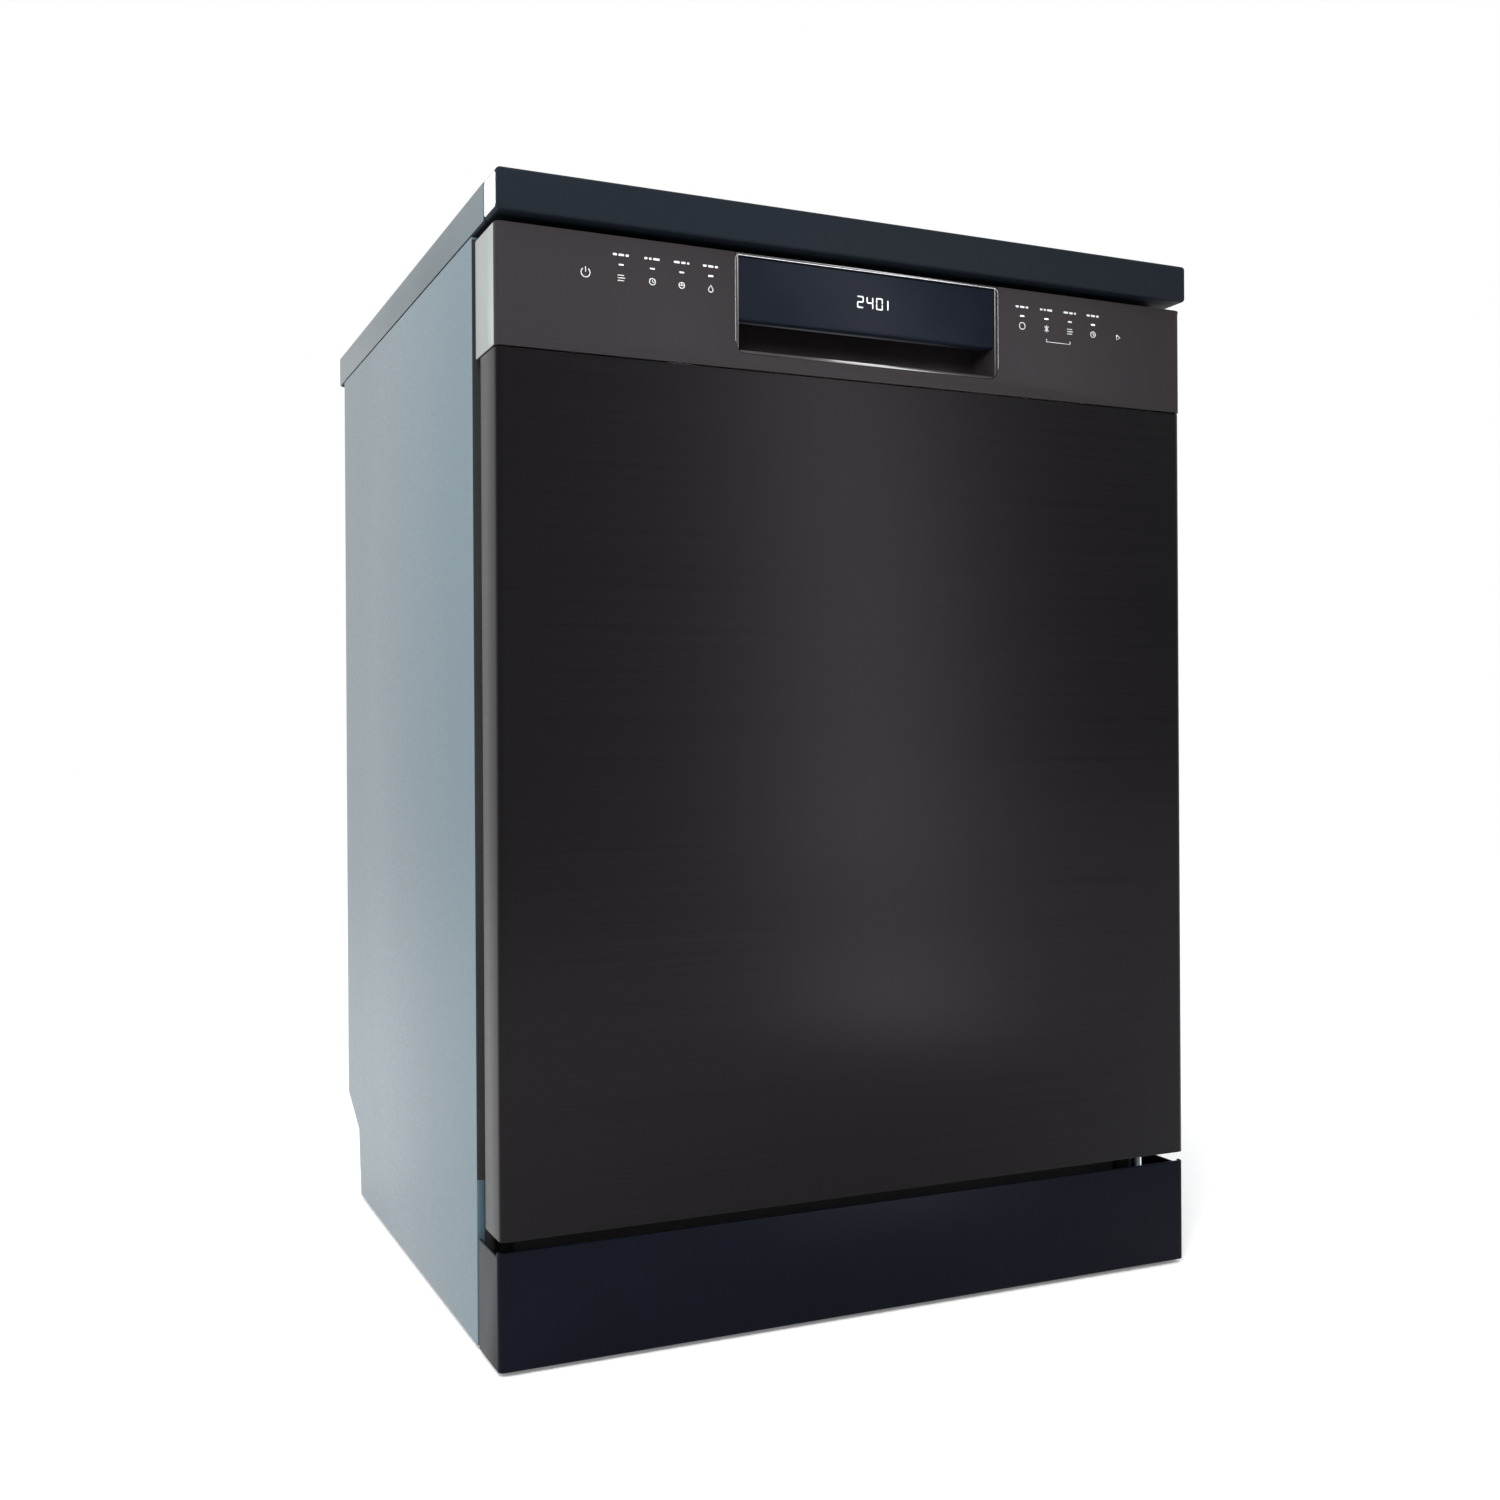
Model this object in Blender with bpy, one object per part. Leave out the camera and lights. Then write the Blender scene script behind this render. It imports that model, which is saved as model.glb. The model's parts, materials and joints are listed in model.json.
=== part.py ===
"""A built-in dishwasher with a drop-down door, two pull-out racks and two spinning spray arms.

Units are metres, +Z is up, +X is to the right of someone facing the door, and the door faces -Y.
The origin is on the floor, at the centre of the footprint. The door is shut and the racks are in.
"""

import math

import bmesh
import bpy
from mathutils import Matrix, Vector

# --- Driving dimensions -----------------------------------------------------------------------------
WIDTH = 0.598
DEPTH = 0.600
HEIGHT = 0.845

TOUCH = 0.0003  # gap between pieces that rest on each other
FIT = 0.0005  # gap round a piece that drops into another

# Worktop and cabinet
WORKTOP_THICK = 0.030
WORKTOP_EDGE = 0.003
TRIM_DEPTH = 0.034
BODY_SETBACK = 0.068  # from the front of the worktop to the front edge of the side panels
BODY_REAR_INSET = 0.025  # from the back of the worktop to the back of the cabinet
PANEL_SHEET = 0.0010
PANEL_FLANGE = 0.006
PANEL_FOOT = 0.004  # the side panels stop this far above the floor
NOTCH_HIGH = 0.093  # the lower back corner is cut away for the hoses
NOTCH_LOW = 0.066
NOTCH_DEEP = 0.055
NOTCH_DRAFT = 0.012

# Door and console
DOOR_SETBACK = 0.008
DOOR_THICK = 0.040
DOOR_SHEET = 0.0010
DOOR_SIDE_GAP = 0.001
DOOR_EDGE = 0.005
DOOR_FLOOR_GAP = 0.095
CONSOLE_HEIGHT = 0.0865
CONSOLE_GAP = 0.006  # between the console and the worktop
CONSOLE_WALL = 0.0025
CONSOLE_CHEEK = 0.052  # how far the console's sides run back
PARTING = 0.0010
HINGE_BACK = 0.020  # the hinge line, behind the door's front face
HINGE_UP = 0.015  # the hinge line, above the door's lower edge
LINER_SHEET = 0.0012
LINER_MARGIN = 0.028
LINER_GAP = 0.0015  # between the shut door's inner face and the tub's rim
SEAL_HEIGHT = 0.009

# Handle pocket and display
POCKET_WIDTH = 0.230
POCKET_LIP = 0.0115  # fascia left below the pocket
POCKET_WALL = 0.002
POCKET_DEEP = 0.039
POCKET_CORNER = 0.008
DISPLAY_HEIGHT = 0.0475
DISPLAY_THICK = 0.0115

# Kick plate, base and feet
KICK_SETBACK = 0.010
KICK_GAP = 0.008
KICK_WALL = 0.0025
KICK_RETURN = 0.054
KICK_FOOT = 0.003
BASE_WALL = 0.0025
BASE_FOOT = 0.014
BASE_TOP = 0.118
FOOT_RADIUS = 0.018
FOOT_HEIGHT = 0.012
FOOT_STEM = 0.005
FOOT_STEM_TOP = 0.068
FOOT_INSET = 0.044

# Tub
TUB_SIDE_GAP = 0.0205
TUB_TOP_GAP = 0.040
TUB_REAR_GAP = 0.023
TUB_SHEET = 0.0015
TUB_CORNER = 0.030
TUB_FLANGE = 0.0135
FLOOR_LEDGE = 0.070
FLOOR_DISH = 0.014
DISH_DRAFT = 0.008
GASKET_WIDTH = 0.011
GASKET_INSET = 0.0015
GASKET_FOOT = 0.150

# Water system
SUMP_RADIUS = 0.075
SUMP_DEPTH = 0.070
SUMP_WALL = 0.0025
SUMP_Y = -0.018
HUB_Y = 0.020
HUB_RADIUS = 0.012
SUMP_TAPER = 0.016
FILTER_GAP = 0.0025
PLATE_THICK = 0.0012
ARM_THICK = 0.009
ARM_WIDTH = 0.044
ARM_CLEARANCE = 0.020
FEED_HALF_WIDTH = 0.016
FEED_DEPTH = 0.016
SALT_X = -0.135
SALT_Y = 0.045
SALT_NECK = 0.022

# Racks
WIRE = 0.004
RACK_SIDE_GAP = 0.027
UPPER_SIDE_GAP = 0.037
RACK_FRONT_GAP = 0.022
RACK_REAR_GAP = 0.025
LOWER_FLOOR_UP = 0.058  # lower rack floor, above the wheel track
LOWER_RIM = 0.140
UPPER_FLOOR = 0.455
UPPER_RIM = 0.140
WHEEL_RADIUS = 0.018
WHEEL_WIDTH = 0.008
AXLE_RADIUS = 0.003
TRACK_CLEAR = 0.0008
RAIL_HEIGHT = 0.026
RAIL_DEPTH = 0.0115
RAIL_SHEET = 0.0015
RAIL_Z = 0.510
BASKET_WIDE = 0.118
BASKET_LONG = 0.236
BASKET_HIGH = 0.120
TINE_ROWS = {"front_tine_row": 0.000, "rear_tine_row": 0.108}
TINE_LENGTH = 0.088
TINE_COUNT = 9
SHELF_Z = 0.540
SHELF_DEEP = 0.092
SHELF_WIRES = 7

# Hinges and springs
ARM_INSET = 0.012  # from the cabinet's side to the inner face of the hinge arm
PLATE = 0.0025
PIN_RADIUS = 0.004
LEVER_BACK = 0.029
LEVER_UP = 0.021
LEVER_END = 0.006
BRACKET_ROOM = 0.006  # kept free inside the hinge arm for the bracket

# --- Derived lines and levels -----------------------------------------------------------------------
HALF = WIDTH / 2
FRONT = -DEPTH / 2
BACK = DEPTH / 2
BODY_TOP = HEIGHT - WORKTOP_THICK
BODY_FRONT = FRONT + BODY_SETBACK
BODY_BACK = BACK - BODY_REAR_INSET
PANEL_IN = HALF - PANEL_SHEET

DOOR_FRONT = FRONT + DOOR_SETBACK
DOOR_REAR = DOOR_FRONT + DOOR_THICK
DOOR_HALF = HALF - DOOR_SIDE_GAP
DOOR_BOTTOM = DOOR_FLOOR_GAP
CONSOLE_TOP = BODY_TOP - CONSOLE_GAP
CONSOLE_BOTTOM = CONSOLE_TOP - CONSOLE_HEIGHT
DOOR_TOP = CONSOLE_BOTTOM - PARTING
HINGE_Y = DOOR_FRONT + HINGE_BACK
HINGE_Z = DOOR_BOTTOM + HINGE_UP

ARM_X = HALF - ARM_INSET
NOTCH_IN = ARM_X - BRACKET_ROOM  # the door is open here, outside this line, for the hinge brackets

KICK_FRONT = FRONT + KICK_SETBACK
KICK_TOP = DOOR_BOTTOM - KICK_GAP

TUB_OUT = HALF - TUB_SIDE_GAP
TUB_IN = TUB_OUT - TUB_SHEET
TUB_TOP = BODY_TOP - TUB_TOP_GAP
TUB_FRONT = BODY_FRONT
TUB_RIM_FACE = TUB_FRONT - TUB_SHEET
LINER_FACE = TUB_RIM_FACE - LINER_GAP
TUB_BACK = BODY_BACK - TUB_REAR_GAP
TUB_REAR_WALL = TUB_BACK - TUB_SHEET - FIT
TUB_CEILING = TUB_TOP - TUB_SHEET

# The open door's inner face lies level with the wheel track, so the lower rack can roll onto it.
TRACK = HINGE_Z + (LINER_FACE - HINGE_Y)
FLOOR_TOP = TRACK - 0.001
DISH = FLOOR_TOP - FLOOR_DISH
SUMP_TOP = DISH - TUB_SHEET - TOUCH
PLATE_Z = DISH + TOUCH
HUB_TOP = FLOOR_TOP + 0.012
SUMP_THROAT = SUMP_RADIUS - SUMP_TAPER - SUMP_WALL
FILTER_RADIUS = SUMP_THROAT / 2 - FIT / 2
FILTER_Y = SUMP_Y - (SUMP_THROAT - FILTER_RADIUS - FILTER_GAP)

RACK_HALF = TUB_IN - RACK_SIDE_GAP
UPPER_HALF = TUB_IN - UPPER_SIDE_GAP
RACK_FRONT = LINER_FACE + RACK_FRONT_GAP
RACK_BACK = TUB_REAR_WALL - RACK_REAR_GAP
LOWER_FLOOR = TRACK + LOWER_FLOOR_UP
LOWER_TOP = LOWER_FLOOR + LOWER_RIM
UPPER_TOP = UPPER_FLOOR + UPPER_RIM
AXLE_Z = TRACK + TRACK_CLEAR + WHEEL_RADIUS
WHEEL_X = RACK_HALF + 0.0035
FEED_FRONT = TUB_REAR_WALL - FEED_DEPTH - FIT
LOWER_ARM_REACH = min(FEED_FRONT - HUB_Y, TUB_IN - ARM_CLEARANCE) - ARM_CLEARANCE / 2
UPPER_ARM_REACH = min(-RACK_FRONT, RACK_BACK) - ARM_CLEARANCE
RAIL_IN = TUB_IN - 0.0025 - RAIL_DEPTH

POCKET_HALF = POCKET_WIDTH / 2
POCKET_BOTTOM = CONSOLE_BOTTOM + POCKET_LIP
POCKET_BACK = DOOR_FRONT + POCKET_DEEP
DISPLAY_TOP = CONSOLE_TOP - POCKET_WALL - FIT
DISPLAY_BOTTOM = DISPLAY_TOP - DISPLAY_HEIGHT


# --- Finishes -----------------------------------------------------------------------------------------
def finish(name, colour, roughness, metallic=0.0):
    made = bpy.data.materials.new(name)
    made.use_nodes = True
    shader = made.node_tree.nodes["Principled BSDF"]
    shader.inputs["Base Color"].default_value = (*colour, 1.0)
    shader.inputs["Roughness"].default_value = roughness
    shader.inputs["Metallic"].default_value = metallic
    return made


# --- Shape makers -------------------------------------------------------------------------------------
def add_solid(name, bm, paint):
    """Turns a bmesh into an object whose faces point outwards."""
    bmesh.ops.recalc_face_normals(bm, faces=bm.faces)
    mesh = bpy.data.meshes.new(name)
    bm.to_mesh(mesh)
    bm.free()
    mesh.materials.append(paint)
    mesh.shade_smooth()
    mesh.set_sharp_from_angle(angle=math.radians(35))
    made = bpy.data.objects.new(name, mesh)
    bpy.context.scene.collection.objects.link(made)
    return made


def on_axis(axis, a, b, along):
    """The point with plane coordinates a, b and the given place along an axis."""
    if axis == "X":
        return Vector((along, a, b))
    if axis == "Y":
        return Vector((a, along, b))
    return Vector((a, b, along))


def rectangle(low_a, high_a, low_b, high_b):
    return [(low_a, low_b), (high_a, low_b), (high_a, high_b), (low_a, high_b)]


def rounded(corners, radii, steps=3):
    """An outline with its corners turned into arcs. radii is one value, or one for each corner."""
    if not isinstance(radii, (list, tuple)):
        radii = [radii] * len(corners)
    points = []
    for i, corner in enumerate(corners):
        if radii[i] == 0:
            points.append(tuple(corner))
            continue
        here = Vector(corner)
        before = (Vector(corners[i - 1]) - here).normalized()
        after = (Vector(corners[(i + 1) % len(corners)]) - here).normalized()
        half_angle = before.angle(after) / 2
        reach = radii[i] / math.tan(half_angle)
        centre = here + (before + after).normalized() * radii[i] / math.sin(half_angle)
        start = here + before * reach - centre
        end = here + after * reach - centre
        first = math.atan2(start.y, start.x)
        turn = (math.atan2(end.y, end.x) - first + math.pi) % (2 * math.pi) - math.pi
        for k in range(steps + 1):
            angle = first + turn * k / steps
            points.append((centre.x + radii[i] * math.cos(angle), centre.y + radii[i] * math.sin(angle)))
    return points


def channel(half, closed, opened, wall, radius):
    """A U-shaped outline, symmetric about a = 0, with its web at b = closed and its ends at b = opened."""
    inward = wall if opened > closed else -wall
    inner_radius = max(radius - wall, wall / 4)
    outer = [(-half, opened), (-half, closed), (half, closed), (half, opened)]
    inner = [
        (half - wall, opened),
        (half - wall, closed + inward),
        (wall - half, closed + inward),
        (wall - half, opened),
    ]
    return rounded(outer, [0, radius, radius, 0]) + rounded(inner, [0, inner_radius, inner_radius, 0])


def ring_points(half_a, half_b, radius, centre=(0.0, 0.0), per_corner=4):
    """A rounded rectangle, or a circle when radius equals both halves, with the same number of points."""
    points = []
    for quarter, (sign_a, sign_b) in enumerate(((1, 1), (-1, 1), (-1, -1), (1, -1))):
        for k in range(per_corner):
            angle = (quarter + (k + 0.5) / per_corner) * math.pi / 2
            points.append(
                (
                    centre[0] + sign_a * (half_a - radius) + radius * math.cos(angle),
                    centre[1] + sign_b * (half_b - radius) + radius * math.sin(angle),
                )
            )
    return points


def circle(radius, centre=(0.0, 0.0), segments=16):
    return ring_points(radius, radius, radius, centre, segments // 4)


def add_prism(bm, outline, axis, low, high):
    near = [bm.verts.new(on_axis(axis, a, b, low)) for a, b in outline]
    far = [bm.verts.new(on_axis(axis, a, b, high)) for a, b in outline]
    bm.faces.new(near)
    bm.faces.new(far[::-1])
    for i in range(len(outline)):
        j = (i + 1) % len(outline)
        bm.faces.new((near[j], near[i], far[i], far[j]))


def prism(name, outline, axis, low, high, paint):
    """A flat outline pushed along an axis."""
    bm = bmesh.new()
    add_prism(bm, outline, axis, low, high)
    return add_solid(name, bm, paint)


def prisms(name, pieces, paint):
    """Several prisms that don't touch, in one mesh: each piece is (outline, axis, low, high)."""
    bm = bmesh.new()
    for piece in pieces:
        add_prism(bm, *piece)
    return add_solid(name, bm, paint)


def block(name, low, high, paint):
    outline = rectangle(low[0], high[0], low[1], high[1])
    return prism(name, outline, "Z", low[2], high[2], paint)


def loft(name, loops, paint, ring=False):
    """A skin through loops of equal length. Its ends are capped, or joined to each other for a ring."""
    bm = bmesh.new()
    rows = [[bm.verts.new(point) for point in loop] for loop in loops]
    pairs = list(zip(rows, rows[1:]))
    if ring:
        pairs.append((rows[-1], rows[0]))
    else:
        bm.faces.new(rows[0][::-1])
        bm.faces.new(rows[-1])
    for near, far in pairs:
        for i in range(len(near)):
            j = (i + 1) % len(near)
            bm.faces.new((near[i], near[j], far[j], far[i]))
    return add_solid(name, bm, paint)


def level(points, axis, along):
    """Plane points lifted to 3-D, all at one place along an axis."""
    return [on_axis(axis, a, b, along) for a, b in points]


def turned(name, profile, axis, centre, paint, segments=24):
    """A solid of revolution. profile is a closed run of (radius, along) points."""
    bm = bmesh.new()
    rows = []
    for radius, along in profile:
        if radius == 0:
            rows.append([bm.verts.new(on_axis(axis, *centre, along))] * segments)
            continue
        rows.append(
            [
                bm.verts.new(
                    on_axis(
                        axis,
                        centre[0] + radius * math.cos(2 * math.pi * k / segments),
                        centre[1] + radius * math.sin(2 * math.pi * k / segments),
                        along,
                    )
                )
                for k in range(segments)
            ]
        )
    for near, far in zip(rows, rows[1:] + rows[:1]):
        for k in range(segments):
            n = (k + 1) % segments
            corners = []
            for vertex in (near[k], near[n], far[n], far[k]):
                if vertex not in corners:
                    corners.append(vertex)
            if len(corners) > 2:
                bm.faces.new(corners)
    return add_solid(name, bm, paint)


def combine(body, tool, operation):
    """A Boolean with a helper that isn't part of the object."""
    modifier = body.modifiers.new(tool.name, "BOOLEAN")
    modifier.operation = operation
    modifier.object = tool
    tool.hide_render = True
    tool.display_type = "WIRE"
    return body


def cut(body, *tools):
    for tool in tools:
        combine(body, tool, "DIFFERENCE")
    return body


def fuse(body, *tools):
    for tool in tools:
        combine(body, tool, "UNION")
    return body


def pivot(name, place, parent=None):
    """An empty on a joint's axis. The pieces that move with the joint hang from it."""
    made = bpy.data.objects.new(name, None)
    bpy.context.scene.collection.objects.link(made)
    made.empty_display_size = 0.02
    made.parent = parent
    at_parent = parent["at"] if parent else (0.0, 0.0, 0.0)
    made.location = Vector(place) - Vector(at_parent)
    made["at"] = tuple(place)
    return made


def hang(piece, holder):
    """Parents a piece to a pivot, with the piece's own origin moved onto that pivot."""
    piece.data.transform(Matrix.Translation(-Vector(holder["at"])))
    piece.parent = holder
    return piece


def place_copy(name, pattern, holder, place):
    """Another object that shares a pattern's mesh, set down at a place in the machine."""
    made = bpy.data.objects.new(name, pattern.data)
    bpy.context.scene.collection.objects.link(made)
    made.parent = holder
    made.location = Vector(place) - Vector(holder["at"] if holder else (0.0, 0.0, 0.0))
    return made


# --- Cabinet ------------------------------------------------------------------------------------------
def build_worktop(paint):
    trim_back = FRONT + TRIM_DEPTH
    edge = WORKTOP_EDGE
    nose = rounded(rectangle(FRONT, trim_back, BODY_TOP, HEIGHT), [edge, 0, 0, edge], 3)
    prism("worktop_front_trim", nose, "X", -HALF, HALF, paint["worktop"])
    slab = rounded(rectangle(trim_back + TOUCH, BACK, BODY_TOP, HEIGHT), [0, edge, edge, 0], 3)
    prism("worktop", slab, "X", -HALF, HALF, paint["worktop"])


def build_side_panel(side, paint):
    """A folded sheet with a flange at its front and back, cut away at its lower back corner."""
    name = "left_side_panel" if side < 0 else "right_side_panel"
    inner = HALF - PANEL_SHEET
    lip = HALF - PANEL_FLANGE
    outline = [
        (lip, BODY_FRONT),
        (HALF, BODY_FRONT),
        (HALF, BODY_BACK),
        (lip, BODY_BACK),
        (lip, BODY_BACK - PANEL_SHEET),
        (inner, BODY_BACK - PANEL_SHEET),
        (inner, BODY_FRONT + PANEL_SHEET),
        (lip, BODY_FRONT + PANEL_SHEET),
    ]
    outline = [(side * a, b) for a, b in outline]
    panel = prism(name, outline, "Z", PANEL_FOOT, BODY_TOP - TOUCH, paint["cabinet"])
    beyond = 0.02
    notch_outline = [
        (BODY_BACK + beyond, NOTCH_HIGH),
        (BODY_BACK - PANEL_SHEET * 1.5, NOTCH_HIGH),
        (BODY_BACK - NOTCH_DEEP, NOTCH_LOW),
        (BODY_BACK - NOTCH_DEEP - NOTCH_DRAFT, PANEL_FOOT - beyond),
        (BODY_BACK + beyond, PANEL_FOOT - beyond),
    ]
    notch = prism(
        name + "_notch",
        notch_outline,
        "X",
        side * (lip - beyond),
        side * (HALF + beyond),
        paint["cabinet"],
    )
    return cut(panel, notch)


def build_rear_panel(paint):
    """A flat back sheet between the side panels' flanges, with a turned-in lower edge."""
    half = HALF - PANEL_FLANGE - FIT
    foot = NOTCH_HIGH + 0.012
    back = BODY_BACK - FIT
    outline = [
        (back, BODY_TOP - TOUCH - FIT),
        (back, foot),
        (back - 0.014, foot),
        (back - 0.014, foot + PANEL_SHEET),
        (back - PANEL_SHEET, foot + PANEL_SHEET),
        (back - PANEL_SHEET, BODY_TOP - TOUCH - FIT),
    ]
    prism("rear_panel", outline, "X", -half, half, paint["galvanised"])


def base_back():
    return BODY_BACK - NOTCH_DEEP - NOTCH_DRAFT - 0.002


def foot_places():
    x = HALF - FOOT_INSET
    front = BODY_FRONT + FOOT_INSET
    back = base_back() - FOOT_INSET
    return {
        "front_left_foot": (-x, front),
        "front_right_foot": (x, front),
        "rear_left_foot": (-x, back),
        "rear_right_foot": (x, back),
    }


def build_base(paint):
    """The moulded tray that carries the tub, the pumps and the feet. The drain spigot is on its back wall."""
    half = PANEL_IN - 0.0015
    front = BODY_FRONT + PANEL_SHEET + 0.001
    back = base_back()
    reach = (back - front) / 2
    wall = BASE_WALL
    centre = (0.0, (front + back) / 2)
    outer = ring_points(half, reach, 0.006, centre, 2)
    inner = ring_points(half - wall, reach - wall, 0.004, centre, 2)
    loops = [
        level(outer, "Z", BASE_FOOT),
        level(outer, "Z", BASE_TOP),
        level(inner, "Z", BASE_TOP),
        level(inner, "Z", BASE_FOOT + wall),
    ]
    base = loft("base_frame", loops, paint["base"])
    holes = [
        (circle(FOOT_STEM + 0.0006, place, 12), "Z", BASE_FOOT - 0.01, BASE_FOOT + 0.01)
        for place in foot_places().values()
    ]
    cut(base, prisms("foot_holes", holes, paint["base"]))
    spigot = turned(
        "drain_spigot",
        [
            (0.0095, back - wall * 0.6),
            (0.0095, back + 0.034),
            (0.0075, back + 0.034),
            (0.0075, back - wall * 0.6),
        ],
        "Y",
        (HALF - 0.090, 0.085),
        paint["base"],
        12,
    )
    bore = turned(
        "drain_bore",
        [(0, back - 0.02), (0.0078, back - 0.02), (0.0078, back - wall * 0.5), (0, back - wall * 0.5)],
        "Y",
        (HALF - 0.090, 0.085),
        paint["base"],
        12,
    )
    return cut(fuse(base, spigot), bore)


def build_feet(paint):
    """Four levelling feet on threaded stems. They share one mesh, made about the foot's own axis."""
    profile = [
        (0, 0),
        (FOOT_RADIUS - 0.002, 0),
        (FOOT_RADIUS, 0.002),
        (FOOT_RADIUS, 0.006),
        (0.011, FOOT_HEIGHT),
        (FOOT_STEM, FOOT_HEIGHT),
        (FOOT_STEM, FOOT_STEM_TOP),
        (0, FOOT_STEM_TOP),
    ]
    pattern = None
    for name, (x, y) in foot_places().items():
        axis = pivot(name + "_axis", (x, y, 0.0))
        if pattern is None:
            pattern = turned(name, profile, "Z", (0.0, 0.0), paint["foot"], 16)
            pattern.parent = axis
        else:
            place_copy(name, pattern, axis, (x, y, 0.0))


def build_kick_plate(paint):
    """A plinth with a flat front and two returns. The returns are lower, where the door's edge swings by."""
    ends = KICK_FRONT + KICK_RETURN
    outline = channel(HALF, KICK_FRONT, ends, KICK_WALL, 0.004)
    plate = prism("kick_plate", outline, "Z", KICK_FOOT, KICK_TOP, paint["plinth"])
    relief = block(
        "kick_relief",
        (-HALF - 0.01, KICK_FRONT + KICK_WALL + 0.004, KICK_TOP - 0.0035),
        (HALF + 0.01, ends + 0.01, KICK_TOP + 0.01),
        paint["plinth"],
    )
    return cut(plate, relief)


# --- Tub ----------------------------------------------------------------------------------------------
def build_tub(paint):
    steel = paint["steel"]
    foot = BASE_TOP + 0.002
    arch = channel(TUB_OUT, TUB_TOP, foot, TUB_SHEET, TUB_CORNER)
    wrap = prism("tub_wrap", arch, "Y", TUB_FRONT, TUB_BACK, steel)
    rim_half = TUB_OUT + TUB_FLANGE
    rim_top = BODY_TOP - 0.003
    rim_wall = TUB_FLANGE + TUB_SHEET / 2
    outer = [(-rim_half, GASKET_FOOT), (-rim_half, rim_top), (rim_half, rim_top), (rim_half, GASKET_FOOT)]
    in_half = rim_half - rim_wall
    in_top = TUB_TOP - TUB_SHEET / 2
    inner = [(in_half, GASKET_FOOT), (in_half, in_top), (-in_half, in_top), (-in_half, GASKET_FOOT)]
    round_in = TUB_CORNER - TUB_SHEET / 2
    outline = rounded(outer, [0, 0.006, 0.006, 0]) + rounded(inner, [0, round_in, round_in, 0])
    rim = prism("tub_rim", outline, "Y", TUB_RIM_FACE, TUB_FRONT + TUB_SHEET * 0.4, steel)
    fuse(wrap, rim)

    back_outline = rounded(
        rectangle(FIT - TUB_IN, TUB_IN - FIT, foot + FIT, TUB_CEILING - FIT),
        [0.004, 0.004, TUB_CORNER - TUB_SHEET, TUB_CORNER - TUB_SHEET],
    )
    prism("tub_back", back_outline, "Y", TUB_REAR_WALL, TUB_REAR_WALL + TUB_SHEET, steel)
    build_tub_floor(paint)


def build_tub_floor(paint):
    """A pressed pan: flat ledges for the rack's wheels, and a dish with the sump's round hole in it."""
    front = TUB_RIM_FACE
    back = TUB_REAR_WALL - FIT
    centre = (0.0, (front + back) / 2)
    half_x = TUB_IN - FIT
    half_y = (back - front) / 2
    dish_x = half_x - FLOOR_LEDGE
    dish_y = half_y - 0.030
    sheet = TUB_SHEET

    def pan(a, b, radius, z):
        return level(ring_points(a, b, radius, centre, 6), "Z", z)

    hole = ring_points(SUMP_RADIUS, SUMP_RADIUS, SUMP_RADIUS, (0.0, SUMP_Y), 6)
    slope = math.hypot(DISH_DRAFT, FLOOR_DISH)
    outward = sheet * (slope - DISH_DRAFT) / FLOOR_DISH  # keeps the sloping wall as thick as the sheet
    loops = [
        pan(half_x, half_y, 0.012, FLOOR_TOP),
        pan(dish_x, dish_y, 0.040, FLOOR_TOP),
        pan(dish_x - DISH_DRAFT, dish_y - DISH_DRAFT, 0.034, DISH),
        level(hole, "Z", DISH),
        level(hole, "Z", DISH - sheet),
        pan(dish_x - DISH_DRAFT + outward, dish_y - DISH_DRAFT + outward, 0.034 + outward, DISH - sheet),
        pan(dish_x + outward, dish_y + outward, 0.040 + outward, FLOOR_TOP - sheet),
        pan(half_x, half_y, 0.012, FLOOR_TOP - sheet),
    ]
    floor = loft("tub_floor", loops, paint["steel"], ring=True)
    lip = block(
        "tub_front_lip",
        (-half_x + 0.002, front, BASE_TOP + 0.002),
        (half_x - 0.002, front + sheet, FLOOR_TOP - sheet / 2),
        paint["steel"],
    )
    fuse(floor, lip)
    opening = circle(SALT_NECK + 0.001, (SALT_X, SALT_Y))
    neck = prism("salt_hole", opening, "Z", DISH - 0.02, DISH + 0.02, paint["steel"])
    return cut(floor, neck)


def build_gasket(paint):
    """The rubber bulb seal round the sides and the top of the tub's mouth."""
    back = TUB_RIM_FACE - TOUCH
    front = DOOR_REAR + LINER_SHEET + TOUCH + 0.001
    half = TUB_OUT + GASKET_INSET + GASKET_WIDTH
    top = TUB_TOP + GASKET_INSET + GASKET_WIDTH
    outline = channel(half, top, GASKET_FOOT, GASKET_WIDTH, TUB_CORNER)
    prism("tub_gasket", outline, "Y", front, back, paint["rubber"])


def lock_level():
    """The height of the striker's tongue."""
    return (TUB_TOP + GASKET_INSET + GASKET_WIDTH + CONSOLE_TOP - CONSOLE_WALL) / 2


def build_striker(paint):
    """A bent steel tongue on the tub's upper rim that the door lock closes over."""
    z = lock_level()
    rear = TUB_RIM_FACE - TOUCH
    tip = DOOR_REAR + 0.005
    thick = 0.0016
    outline = [
        (rear, z + 0.008),
        (rear - thick, z + 0.008),
        (rear - thick, z + thick / 2),
        (tip, z + thick / 2),
        (tip, z - thick / 2),
        (rear - thick, z - thick / 2),
        (rear - thick, z - 0.008),
        (rear, z - 0.008),
    ]
    prism("lock_striker", outline, "X", -0.009, 0.009, paint["steel"])


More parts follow.
